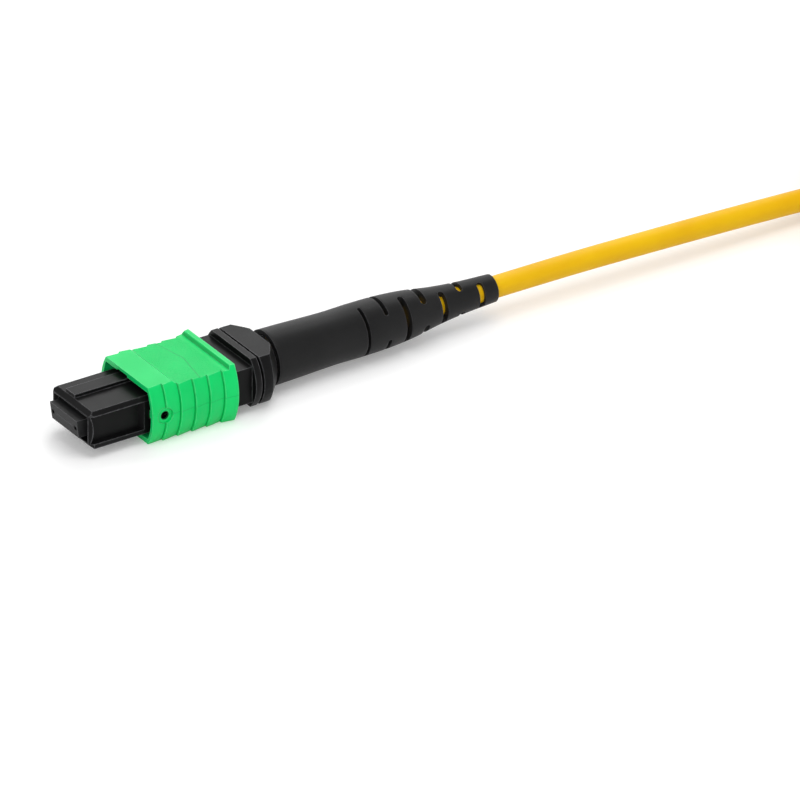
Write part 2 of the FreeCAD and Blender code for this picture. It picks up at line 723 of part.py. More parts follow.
def build_push(label):
    body = new_body(label)
    tube = centred("push_width", "push_height")
    pad(body, "tube", "YZ_Plane", push_front, f"{push_flange_front} - {push_front}", tube)
    lip = oval("lip_width", "lip_height")
    pad(body, "lip", "YZ_Plane", f"{push_front} - lip_length", "lip_length", lip)
    flange = barrel("push_flange_flat_width", "push_flange_width", "push_flange_height")
    pad(body, "flange", "YZ_Plane", push_flange_front, "push_flange_length", flange)
    outer = "(push_flange_width / 2)"
    cone = [
        (f"{push_flange_rear} - cone_length", outer),
        (push_flange_rear, "cone_small_radius"),
        (f"{push_flange_rear} + 1", "cone_small_radius"),
        (f"{push_flange_rear} + 1", f"{outer} + 1"),
        (f"{push_flange_rear} - cone_length", f"{outer} + 1"),
    ]
    groove(body, "cone", cone)
    stub_rear = f"({boot_front} + stub_length)"
    stub = [
        (f"{push_flange_rear} - 1", "push_bore_radius"),
        (stub_rear, "push_bore_radius"),
        (stub_rear, "stub_radius"),
        (boot_front, "stub_radius"),
        (boot_front, "collar_radius"),
        (f"{push_flange_rear} - 1", "collar_radius"),
    ]
    revolve(body, "stub", stub)
    first = f"({crimp_front} + stub_groove_place)"
    ring = block(first, "stub_radius - stub_groove_depth", f"{first} + stub_groove_width", "stub_radius + 1")
    groove(body, "grip", ring)
    tooth_front = f"({window_front} + tooth_inset)"
    tooth_rear = f"({window_front} + window_length - tooth_inset)"
    half = "(push_height / 2)"
    tooth = [
        (tooth_front, half),
        (tooth_rear, half),
        (tooth_rear, f"{half} + tooth_height"),
        (f"{tooth_rear} - tooth_inset * 5", f"{half} + tooth_height"),
    ]
    low_tooth = [(x, f"-({y})") for x, y in reversed(tooth)]
    tooth_width = "(window_width - 2 * tooth_inset)"
    pad(body, "teeth", "XZ_Plane", f"-{tooth_width} / 2", tooth_width, tooth, low_tooth)
    bore = [
        (f"{push_front} - lip_length - 1", "0"),
        (f"{stub_rear} + 1", "0"),
        (f"{stub_rear} + 1", "push_bore_radius"),
        (f"{push_flange_front}", "push_bore_radius"),
        (f"{push_flange_front}", "push_mouth_height / 2"),
        (f"{push_front} - lip_length - 1", "push_mouth_height / 2"),
    ]
    groove(body, "bore", bore)
    mouth = centred("ribbon_width + 6 * ribbon_gap", "push_mouth_height")
    mouth_front = f"({push_front} - lip_length)"
    pocket(body, "mouth", "YZ_Plane", mouth_front, f"{push_flange_front} - {mouth_front}", mouth)
    return body


def build_yarn(label):
    """The cable's strength yarn, spread over the stub under the crimp ring."""
    body = new_body(label)
    inner, outer = "stub_radius", "stub_radius + yarn_thickness"
    revolve(body, "sleeve", block(crimp_front, inner, f"{boot_front} + stub_length", outer))
    return body


def build_crimp(label):
    body = new_body(label)
    large, small = "(stub_radius + yarn_thickness)", "(cable_diameter / 2)"
    wall = [
        (crimp_front, large),
        (crimp_shoulder_front, large),
        (crimp_shoulder_front, small),
        (crimp_rear, small),
        (crimp_rear, crimp_small_outer),
        (crimp_shoulder_rear, crimp_small_outer),
        (crimp_shoulder_rear, crimp_outer),
        (crimp_front, crimp_outer),
    ]
    revolve(body, "ring", wall)
    return body


def boot_wall(body, stations):
    """Tapered wall of a strain relief with its cable hole."""
    rounds = [(place, ("circle", "0", "0", radius)) for place, radius in stations]
    loft(body, "wall", "YZ_Plane", rounds)
    hole = ("circle", "0", "0", "cable_diameter / 2 + cable_clearance")
    pocket(body, "cable_hole", "YZ_Plane", boot_front, "boot_length", hole)


def build_far_boot(label):
    """Strain relief of the far plug, without slots and straight over the stub."""
    body = new_body(label)
    stations = [
        (boot_front, "boot_grip_radius"),
        (f"{boot_front} + boot_shoulder_place", "boot_grip_radius"),
        (boot_rear, "boot_tip_radius"),
    ]
    boot_wall(body, stations)
    pocket(body, "socket", "YZ_Plane", boot_front, "stub_length", ("circle", "0", "0", "stub_radius"))
    return body


def build_boot(label):
    body = new_body(label)
    stations = [
        (boot_front, "boot_front_radius"),
        (f"{boot_front} + boot_waist_place", "boot_grip_radius"),
        (f"{boot_front} + boot_shoulder_place", "boot_grip_radius"),
        (f"{boot_front} + boot_neck_place", "boot_neck_radius"),
        (boot_rear, "boot_tip_radius"),
    ]
    boot_wall(body, stations)
    wide = ("circle", "0", "0", f"{crimp_outer} + boot_clearance")
    pocket(body, "socket", "YZ_Plane", boot_front, f"{crimp_shoulder_rear} - {boot_front}", wide)
    small = ("circle", "0", "0", f"{crimp_small_outer} + boot_clearance")
    pocket(body, "ring_seat", "YZ_Plane", boot_front, f"{crimp_rear} + boot_clearance - {boot_front}", small)
    for number in range(int(value("slot_count"))):
        growth = min(number / value("slot_growing"), 1)
        width = f"(slot_narrow + (slot_wide - slot_narrow) * {growth})"
        middle = f"({boot_front} + slot_first + {number} * {slot_pitch})"
        slot = [
            block(f"{middle} - {width} / 2", low, f"{middle} + {width} / 2", high)
            for low, high in (
                ("cable_diameter / 4", "boot_front_radius + 1"),
                ("-boot_front_radius - 1", "-cable_diameter / 4"),
            )
        ]
        half_angle = "slot_half_angle_wide" if number < value("slot_growing") else "slot_half_angle"
        turn = "slot_turn" if number % 2 else "slot_turn + 90"
        groove(body, f"slot_{number + 1}", *slot, turn=turn, angle=f"2 * {half_angle}", both_ways=True)
    return body


def build_cable_lead(label):
    """The clamped stretch of cable inside the boot, open where the fibres come out."""
    body = new_body(label)
    jacket = [
        (cable_start, "cable_bore / 2"),
        (cable_mouth, "cable_bore / 2"),
        (cable_mouth, "0"),
        (cable_exit, "0"),
        (cable_exit, "cable_diameter / 2"),
        (cable_start, "cable_diameter / 2"),
    ]
    revolve(body, "jacket", jacket)
    return body


def build_hank(label):
    """Outer shape of the put-away cable, folded in long turns and drawn in at the tie."""
    body = new_body(label)
    half = hank_half_width
    waist = "(hank_waist_width / 2)"
    waist_front = f"({hank_middle} - hank_waist_length / 2)"
    waist_rear = f"({hank_middle} + hank_waist_length / 2)"
    outline = [
        (hank_near_centre, f"-{half}", half, 1),
        (waist_front, f"-{waist}"),
        (waist_rear, f"-{waist}"),
        (hank_far_centre, f"-{half}"),
        (hank_end, "0", half, 1),
        (hank_far_centre, half, half, 1),
        (waist_rear, waist),
        (waist_front, waist),
        (hank_near_centre, half),
        ("hank_start", "0", half, 1),
    ]
    pad(body, "turns", "XY_Plane", floor_level, f"{hank_top} - {floor_level}", outline)
    tie_front = f"{hank_middle} - tie_width / 2 - tie_gap"
    tie_rear = f"{hank_middle} + tie_width / 2 + tie_gap"
    under = block(tie_front, f"-{waist} - 1", tie_rear, f"{waist} + 1")
    pocket(body, "tie_groove", "XY_Plane", floor_level, "tie_thickness + tie_gap", under)
    return body


def build_tie(label):
    body = new_body(label)
    inner_low = f"({floor_level} + tie_thickness)"
    inner_high = f"({hank_top} + tie_gap)"
    inner_half = "(hank_waist_width / 2 + tie_gap)"
    outer_half = f"({inner_half} + tie_thickness)"
    outer = block(f"-{outer_half}", floor_level, outer_half, f"{inner_high} + tie_thickness")
    inner = block(f"-{inner_half}", inner_low, inner_half, inner_high)
    pad(body, "strap", "YZ_Plane", f"{hank_middle} - tie_width / 2", "tie_width", outer, inner)
    return body


def cord_tube(label, points):
    """Round cord along straight runs joined by arcs as large as the runs allow."""
    runs = [(b - a).Length for a, b in zip(points, points[1:])]
    edges, radii = [], []
    here = points[0]
    for index in range(1, len(points) - 1):
        corner = points[index]
        back = (points[index - 1] - corner).normalize()
        ahead = (points[index + 1] - corner).normalize()
        reach = 0.45 * min(runs[index - 1], runs[index])
        turn = math.pi - back.getAngle(ahead)
        radii.append(reach / math.tan(turn / 2))
        first, last = corner + back * reach, corner + ahead * reach
        bisector = (back + ahead).normalize()
        depth = radii[-1] * (1 / math.cos(turn / 2) - 1)
        edges.append(Part.LineSegment(here, first).toShape())
        edges.append(Part.Arc(first, corner + bisector * depth, last).toShape())
        here = last
    edges.append(Part.LineSegment(here, points[-1]).toShape())
    path = Part.Wire(edges)
    radius = value("cable_diameter") / 2
    start_ring = Part.Wire(Part.makeCircle(radius, points[0], points[1] - points[0]))
    tube = doc.addObject("Part::Feature", label)
    tube.Label = label
    tube.Shape = path.makePipeShell([start_ring], True, True)
    expected = math.pi * radius**2 * path.Length
    print(label, "length", round(path.Length, 2), "radii", [round(r, 1) for r in radii])
    print(label, "volume", round(tube.Shape.Volume, 2), "expected", round(expected, 2))
    return tube


ferrule = build_ferrule("ferrule")
ribbon = build_ribbon("fibre_ribbon")
ferrule_boot = build_ferrule_boot("ferrule_boot")
keeper = build_keeper("pin_keeper")
ferrule_spring = coil_spring(
    "ferrule_spring",
    f"{keeper_rear} + seat_gap / 2",
    f"{push_front} - seat_gap / 2",
    "spring_width",
    "spring_height",
    "spring_wire",
    "spring_turns",
    "spring_stations",
)
housing = build_housing("inner_housing")
sleeve = build_sleeve("coupling_sleeve", int(value("band_count")))
small_springs = [
    coil_spring(
        label,
        f"{lug_rear} + seat_gap",
        f"{channel_rear} - seat_gap",
        "small_spring_width",
        "small_spring_width",
        "small_wire",
        "small_spring_turns",
        "small_spring_stations",
        f"{side} * (channel_floor + seat_gap + small_spring_width / 2)",
    )
    for label, side in (("coupling_spring_right", -1), ("coupling_spring_left", 1))
]
push = build_push("spring_push")
yarn = build_yarn("aramid_yarn")
crimp = build_crimp("crimp_ring")
boot = build_boot("boot")
lead = build_cable_lead("cable_lead")

near_route = [
    Vector(value(cable_exit), 0, 0),
    Vector(81.0, 0, -0.08),
    Vector(100.0, 0, -0.62),
    Vector(118.5, 0, -1.5),
]
cable = cord_tube("cable", near_route)
hank = build_hank("cable_hank")
tie = build_tie("hank_tie")
tail_route = [
    Vector(193.0, 0, -1.72),
    Vector(202.5, 0, -0.3),
    Vector(value("far_face") - value(cable_exit), 0, 0),
]
tail = cord_tube("cable_tail", tail_route)

plain_ferrule = build_ferrule("far_ferrule", with_fibre_holes=False)
plain_sleeve = build_sleeve("far_coupling_sleeve", 0)
plain_boot = build_far_boot("far_boot")
far_pieces = [plain_ferrule, plain_sleeve, plain_boot]
for piece in (housing, push, lead):
    far = doc.addObject("App::Link", f"far_{piece.Label}")
    far.Label = f"far_{piece.Label}"
    far.LinkedObject = piece
    far_pieces.append(far)
half_turn = FreeCAD.Rotation(Vector(0, 0, 1), 180)
for far in far_pieces:
    far.Placement = FreeCAD.Placement(Vector(value("far_face"), 0, 0), half_turn)
    bind(far, "Placement.Base.x", "far_face")

doc.recompute()
pieces = [ferrule, ribbon, ferrule_boot, keeper, ferrule_spring, housing, sleeve, *small_springs]
pieces += [push, yarn, crimp, boot, lead, cable, hank, tie, tail, *far_pieces]
for thing in doc.Objects:
    if "Invalid" in thing.State or "Error" in thing.State:
        raise ValueError(f"{thing.Label} did not build: {thing.State}")
os.makedirs("parts", exist_ok=True)
for piece in pieces:
    shape = Part.getShape(piece)
    if shape.isNull() or not shape.isValid() or not shape.Solids:
        raise ValueError(f"{piece.Label} has no valid solid")
    shape.exportStep(f"parts/{piece.Label}.step")
    print(piece.Label, len(shape.Solids), "solid", round(shape.Volume, 2), "mm3")
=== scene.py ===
import math
import bmesh
import bpy
from mathutils import Matrix, Vector


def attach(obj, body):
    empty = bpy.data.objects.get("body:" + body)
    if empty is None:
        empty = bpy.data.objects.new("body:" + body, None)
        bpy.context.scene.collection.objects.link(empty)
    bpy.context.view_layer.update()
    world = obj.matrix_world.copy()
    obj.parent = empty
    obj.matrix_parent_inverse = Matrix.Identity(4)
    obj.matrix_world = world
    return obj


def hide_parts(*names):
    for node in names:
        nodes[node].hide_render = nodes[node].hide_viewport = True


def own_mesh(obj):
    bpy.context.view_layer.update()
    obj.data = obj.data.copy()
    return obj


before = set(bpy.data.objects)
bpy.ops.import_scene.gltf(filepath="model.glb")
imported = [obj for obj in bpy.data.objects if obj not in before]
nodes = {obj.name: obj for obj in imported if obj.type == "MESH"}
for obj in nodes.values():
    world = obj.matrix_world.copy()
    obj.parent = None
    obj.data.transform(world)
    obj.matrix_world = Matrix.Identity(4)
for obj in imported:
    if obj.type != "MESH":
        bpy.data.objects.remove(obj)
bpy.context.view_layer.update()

mm = 0.001


def linear(red, green, blue):
    # display colour to scene colour
    def one(c):
        return c / 12.92 if c <= 0.04045 else ((c + 0.055) / 1.055) ** 2.4
    return (one(red), one(green), one(blue), 1.0)


def addObject(name, data):
    obj = bpy.data.objects.new(name, data)
    bpy.context.collection.objects.link(obj)
    return obj


def meshFrom(name, vertices, faces):
    mesh = bpy.data.meshes.new(name)
    mesh.from_pydata([Vector(v) * mm for v in vertices], [], faces)
    mesh.validate()
    return mesh


def faceOutwards(mesh):
    work = bmesh.new()
    work.from_mesh(mesh)
    bmesh.ops.recalc_face_normals(work, faces=work.faces)
    work.to_mesh(mesh)
    work.free()


def applyModifiers(obj):
    graph = bpy.context.evaluated_depsgraph_get()
    mesh = bpy.data.meshes.new_from_object(obj.evaluated_get(graph))
    obj.modifiers.clear()
    obj.data = mesh


# node helpers

def feed(tree, socket, value):
    # links what another node gives, and sets a plain value
    if isinstance(value, bpy.types.NodeSocket):
        tree.links.new(value, socket)
    elif value is not None:
        socket.default_value = value


def mathNode(tree, operation, *values):
    node = tree.nodes.new("ShaderNodeMath")
    node.operation = operation
    for socket, value in zip(node.inputs, values):
        feed(tree, socket, value)
    return node.outputs[0]


def product(tree, *masks):
    result = masks[0]
    for mask in masks[1:]:
        result = mathNode(tree, "MULTIPLY", result, mask)
    return result


def strongest(tree, *masks):
    result = masks[0]
    for mask in masks[1:]:
        result = mathNode(tree, "MAXIMUM", result, mask)
    return result


def lengthOf(tree, along, up):
    squares = [mathNode(tree, "POWER", side, 2.0) for side in (along, up)]
    return mathNode(tree, "SQRT", mathNode(tree, "ADD", *squares))


def mixColours(tree, factor, first, second):
    node = tree.nodes.new("ShaderNodeMix")
    node.data_type = "RGBA"
    for index, value in ((0, factor), (6, first), (7, second)):  # 6 and 7 are the colours
        feed(tree, node.inputs[index], value)
    return node.outputs[2]


def objectPlace(tree, stretch=None):
    place = tree.nodes.new("ShaderNodeTexCoord").outputs["Object"]
    if stretch is None:
        return place
    mapping = tree.nodes.new("ShaderNodeMapping")
    mapping.inputs["Scale"].default_value = stretch
    tree.links.new(place, mapping.inputs["Vector"])
    return mapping.outputs["Vector"]


def splitVector(tree, vector):
    node = tree.nodes.new("ShaderNodeSeparateXYZ")
    tree.links.new(vector, node.inputs[0])
    return node.outputs["X"], node.outputs["Y"], node.outputs["Z"]


def noiseNode(tree, place, scale, detail=3.0, roughness=0.5):
    node = tree.nodes.new("ShaderNodeTexNoise")
    values = {"Vector": place, "Scale": scale, "Detail": detail, "Roughness": roughness}
    for label, value in values.items():
        feed(tree, node.inputs[label], value)
    return node.outputs["Fac"]


def rampNode(tree, factor, stops):
    # grey ramp through (position, brightness) stops
    node = tree.nodes.new("ShaderNodeValToRGB")
    while len(node.color_ramp.elements) < len(stops):
        node.color_ramp.elements.new(0.5)
    for element, (position, grey) in zip(node.color_ramp.elements, stops):
        element.position = position
        element.color = (grey, grey, grey, 1)
    tree.links.new(factor, node.inputs["Fac"])
    return node.outputs["Color"]


def bumpNode(tree, height, strength, distance, normal=None):
    node = tree.nodes.new("ShaderNodeBump")
    values = {"Height": height, "Strength": strength, "Distance": distance, "Normal": normal}
    for label, value in values.items():
        feed(tree, node.inputs[label], value)
    return node.outputs["Normal"]


# shader groups that several materials share

def newGroup(name, inputs, outputs):
    group = bpy.data.node_groups.new(name, "ShaderNodeTree")
    for label, kind, value in inputs:
        socket = group.interface.new_socket(label, in_out="INPUT", socket_type=kind)
        socket.default_value = value
    for label, kind in outputs:
        group.interface.new_socket(label, in_out="OUTPUT", socket_type=kind)
    return group, group.nodes.new("NodeGroupInput"), group.nodes.new("NodeGroupOutput")


skinMix = {
    "driftDetail": 4.0,
    "driftStops": [(0.36, 0.0), (0.66, 1.0)],
    "grainDetail": 2.0,
    "grainRoughness": 0.6,
    "grainShare": 0.55,  # what the grain and the drift each add to the roughness
    "driftShare": 0.45,
    "grainReach": 0.02 * mm,
}


def buildMouldSkin():
    # broad colour drift, fine grain, and a roughness that follows both
    look = skinMix
    group, start, end = newGroup(
        "mouldSkin",
        [
            ("Colour", "NodeSocketColor", (0.5, 0.5, 0.5, 1)),
            ("Drift Colour", "NodeSocketColor", (0.4, 0.4, 0.4, 1)),
            ("Drift Size", "NodeSocketFloat", 220.0),
            ("Grain Size", "NodeSocketFloat", 6000.0),
            ("Roughness Low", "NodeSocketFloat", 0.35),
            ("Roughness High", "NodeSocketFloat", 0.5),
            ("Grain Depth", "NodeSocketFloat", 0.3),
        ],
        [
            ("Colour", "NodeSocketColor"),
            ("Roughness", "NodeSocketFloat"),
            ("Normal", "NodeSocketVector"),
        ],
    )
    given = start.outputs
    place = objectPlace(group)
    drift = noiseNode(group, place, given["Drift Size"], look["driftDetail"])
    grain = noiseNode(group, place, given["Grain Size"], look["grainDetail"],
                      look["grainRoughness"])
    driftMask = rampNode(group, drift, look["driftStops"])
    colour = mixColours(group, driftMask, given["Colour"], given["Drift Colour"])
    driftPart = mathNode(group, "MULTIPLY", drift, look["driftShare"])
    spread = mathNode(group, "MULTIPLY_ADD", grain, look["grainShare"], driftPart)
    span = mathNode(group, "SUBTRACT", given["Roughness High"], given["Roughness Low"])
    rough = mathNode(group, "MULTIPLY_ADD", spread, span, given["Roughness Low"])
    normal = bumpNode(group, grain, given["Grain Depth"], look["grainReach"])
    for label, value in (("Colour", colour), ("Roughness", rough), ("Normal", normal)):
        group.links.new(value, end.inputs[label])
    return group


# settings of the painted edge highlight, which also stands for some wear
edgeShineAndWearLook = {
    "samples": 4,
    "leanStops": [(0.005, 0.0), (0.06, 1.0)],  # how far the rounded normal leans from the flat one
    "outerStops": [(0.49, 0.0), (0.51, 1.0)],  # keeps outer edges and drops hollow corners
    "patchDetail": 3.0,
    "patchStops": [(0.35, 0.45), (0.6, 1.0)],
}


def buildEdgeShineAndWear():
    # mask of outer edges for a painted highlight and wear, broken up so that it is uneven
    look = edgeShineAndWearLook
    group, start, end = newGroup(
        "edgeShineAndWear",
        [("Width", "NodeSocketFloat", 0.12 * mm), ("Break Up", "NodeSocketFloat", 1500.0)],
        [("Mask", "NodeSocketFloat")],
    )
    rounded = group.nodes.new("ShaderNodeBevel")
    rounded.samples = look["samples"]
    group.links.new(start.outputs["Width"], rounded.inputs["Radius"])
    flat = group.nodes.new("ShaderNodeNewGeometry")
    dot = group.nodes.new("ShaderNodeVectorMath")
    dot.operation = "DOT_PRODUCT"
    group.links.new(rounded.outputs["Normal"], dot.inputs[0])
    group.links.new(flat.outputs["Normal"], dot.inputs[1])
    lean = mathNode(group, "SUBTRACT", 1.0, dot.outputs["Value"])
    edge = rampNode(group, lean, look["leanStops"])
    outer = rampNode(group, flat.outputs["Pointiness"], look["outerStops"])
    patches = noiseNode(group, objectPlace(group), start.outputs["Break Up"], look["patchDetail"])
    uneven = rampNode(group, patches, look["patchStops"])
    group.links.new(product(group, edge, outer, uneven), end.inputs["Mask"])
    return group


mouldSkin = buildMouldSkin()
edgeShineAndWear = buildEdgeShineAndWear()
print("shader groups ready")


# materials

def startMaterial(name):
    material = bpy.data.materials.new(name)
    material.use_nodes = True
    return material, material.node_tree, material.node_tree.nodes["Principled BSDF"]


def placeGroup(tree, group, values):
    node = tree.nodes.new("ShaderNodeGroup")
    node.node_tree = group
    for label, value in values.items():
        node.inputs[label].default_value = value
    return node


def placeSkin(tree, look):
    return placeGroup(tree, mouldSkin, {
        "Colour": look["colour"],
        "Drift Colour": look["drift"],
        "Drift Size": look["driftSize"],
        "Grain Size": look["grainSize"],
        "Roughness Low": look["smooth"],
        "Roughness High": look["rough"],
        "Grain Depth": look["grainDepth"],
    }).outputs


def finishShader(tree, shader, colour, roughness, normal, sockets):
    # what changes over the surface, then what is the same all over
    surface = {"Base Color": colour, "Roughness": roughness, "Normal": normal}
    for label, value in surface.items():
        feed(tree, shader.inputs[label], value)
    for label, value in sockets.items():
        shader.inputs[label].default_value = value


def mouldedPlastic(name, look, marks=None):
    material, tree, shader = startMaterial(name)
    skin = placeSkin(tree, look)
    # outer edges lightened: a painted edge highlight, partly also wear
    edgeShineAndWearMask = placeGroup(tree, edgeShineAndWear, {"Width": look["shineAndWearWidth"], "Break Up": look["shineAndWearBreak"]})
    shineAndWear = mathNode(tree, "MULTIPLY", edgeShineAndWearMask.outputs["Mask"], look["shineAndWearAmount"])
    colour = mixColours(tree, shineAndWear, skin["Colour"], look["shineAndWearColour"])
    normal = skin["Normal"]
    if marks:
        # marks darken the colour towards the mark colour; some are painted shade (sleeve steps,
        # eye mouths, ridge foot, ferrule guide holes)
        mask, height = marks(tree)
        colour = mixColours(tree, mask, colour, look["markColour"])
        normal = bumpNode(tree, height, look["markDepth"], look["markReach"], normal)
    finishShader(tree, shader, colour, skin["Roughness"], normal, look["sockets"])
    return material


# marks on the sleeve, in millimetres along X unless said otherwise; the seam, arrow line, eye ring
# and grain are moulded, while the step lines, eye mouth and ridge foot are painted shade
sleeveMarks = {
    "facing": 0.5,  # how squarely a face looks up or sideways
    "bands": [11.6, 13.815, 16.03, 18.245, 20.46],
    "bandWidth": 0.06,
    "bandLag": 0.055,  # the line sits just in front of each step
    "seamStart": 12.3,
    "seamHalfHeight": 0.028,  # parting line along both sides, in Z
    "chevronMiddle": 18.1,
    "chevronEnd": 17.15,
    "chevronHalfWidth": 5.22,  # in Y
    "chevronLine": 0.06,
    "eyeX": 11.45,
    "eyeRing": 1.1,  # radii
    "eyeShadeRadius": 0.62,
    "ringLine": 0.035,
    "ridgeRoot": 21.46,
    "rootWidth": 0.1,
    "ridgeFoot": 2.6,  # in Z
    "panelFront": 13.4,
    "panelRear": 21.0,
    "panelFade": 0.5,
    "grainSize": 4800.0,
    "grainDetail": 3.0,
    "grainRoughness": 0.65,
    "grainLift": 1.6,
    "pitStops": [(0.36, 1.0), (0.46, 0.0)],
    # how strongly each mark darkens and cuts in; the step lines, eye mouth and ridge foot are
    # painted shade
    "depths": {
        "pits": 0.14, "bands": 0.62, "seam": 0.4, "chevron": 0.9, "ring": 0.45, "lip": 0.95,
        "root": 0.42,
    },
}


def markSleeve(tree):
    look = sleeveMarks
    place = splitVector(tree, objectPlace(tree))
    x, y, z = (mathNode(tree, "MULTIPLY", part, 1 / mm) for part in place)
    normal = splitVector(tree, tree.nodes.new("ShaderNodeTexCoord").outputs["Normal"])
    onTop = mathNode(tree, "GREATER_THAN", normal[2], look["facing"])
    onSide = mathNode(tree, "GREATER_THAN", mathNode(tree, "ABSOLUTE", normal[1]), look["facing"])
    offSide = mathNode(tree, "SUBTRACT", 1.0, onSide)

    # ring round each side eye, and painted shade in the mouth where the eye goes in
    fromEye = lengthOf(tree, mathNode(tree, "SUBTRACT", x, look["eyeX"]), z)
    ring = mathNode(tree, "COMPARE", fromEye, look["eyeRing"], look["ringLine"])
    lip = mathNode(tree, "LESS_THAN", fromEye, look["eyeShadeRadius"])
    outsideEye = mathNode(tree, "GREATER_THAN", fromEye, look["eyeRing"])

    # painted shade line with a shallow groove at each step, and the parting line behind the eye
    lines = strongest(tree, *(
        mathNode(tree, "COMPARE", x, band - look["bandLag"], look["bandWidth"])
        for band in look["bands"]
    ))
    seam = mathNode(tree, "COMPARE", z, 0.0, look["seamHalfHeight"])
    behindEye = mathNode(tree, "GREATER_THAN", x, look["seamStart"])

    # shallow arrow line across the top
    slope = (look["chevronEnd"] - look["chevronMiddle"]) / look["chevronHalfWidth"]
    across = mathNode(tree, "ABSOLUTE", y)
    crest = mathNode(tree, "MULTIPLY_ADD", across, slope, look["chevronMiddle"])
    fromCrest = mathNode(tree, "SUBTRACT", x, crest)
    chevron = mathNode(tree, "COMPARE", fromCrest, 0.0, look["chevronLine"])

    # shade at the foot of the rear ridge
    root = mathNode(tree, "COMPARE", x, look["ridgeRoot"], look["rootWidth"])
    aboveFoot = mathNode(tree, "GREATER_THAN", z, look["ridgeFoot"])

    # stipple on the top panel, fading out at its ends
    speckle = noiseNode(tree, objectPlace(tree), look["grainSize"], look["grainDetail"],
                        look["grainRoughness"])
    panel = look["panelRear"] - look["panelFront"]
    fade = look["panelFade"] / panel
    along = mathNode(tree, "DIVIDE", mathNode(tree, "SUBTRACT", x, look["panelFront"]), panel)
    within = rampNode(tree, along, [(0.0, 0.0), (fade, 1.0), (1 - fade, 1.0), (1.0, 0.0)])
    within = product(tree, within, onTop)
    grain = product(tree, mathNode(tree, "SUBTRACT", speckle, 0.5), within)

    masks = {
        "pits": product(tree, rampNode(tree, speckle, look["pitStops"]), within),
        "bands": product(tree, lines, onSide, outsideEye),
        "seam": product(tree, seam, onSide, behindEye),
        "chevron": product(tree, chevron, onTop),
        "ring": product(tree, ring, onSide),
        "lip": lip,
        "root": product(tree, root, aboveFoot, offSide),
    }
    # strongest mark wins, painted shade included
    cutsAndShade = strongest(tree, *(
        mathNode(tree, "MULTIPLY", masks[name], depth) for name, depth in look["depths"].items()
    ))
    lifted = mathNode(tree, "MULTIPLY", grain, look["grainLift"])
    return cutsAndShade, mathNode(tree, "SUBTRACT", lifted, cutsAndShade)


# marks on the polished end of the ferrule, in millimetres: painted shade in the guide holes, and
# the dark fibre row
ferruleMarks = {
    "guideOffset": 2.65,
    "guideShadeRadius": 0.37,
    "rowHalfWidth": 2.0,
    "rowHalfHeight": 0.07,
    "rowDepth": 0.6,
}


def markFerrule(tree):
    look = ferruleMarks
    place = splitVector(tree, objectPlace(tree))
    y, z = (mathNode(tree, "MULTIPLY", part, 1 / mm) for part in place[1:])
    across = mathNode(tree, "ABSOLUTE", y)
    fromGuide = lengthOf(tree, mathNode(tree, "SUBTRACT", across, look["guideOffset"]), z)
    # painted shade in the guide-hole mouths
    guideShade = mathNode(tree, "LESS_THAN", fromGuide, look["guideShadeRadius"])
    inHeight = mathNode(tree, "COMPARE", z, 0.0, look["rowHalfHeight"])
    inWidth = mathNode(tree, "LESS_THAN", across, look["rowHalfWidth"])
    row = product(tree, inHeight, inWidth, look["rowDepth"])
    cutsAndShade = strongest(tree, guideShade, row)
    return cutsAndShade, mathNode(tree, "MULTIPLY", cutsAndShade, -1.0)
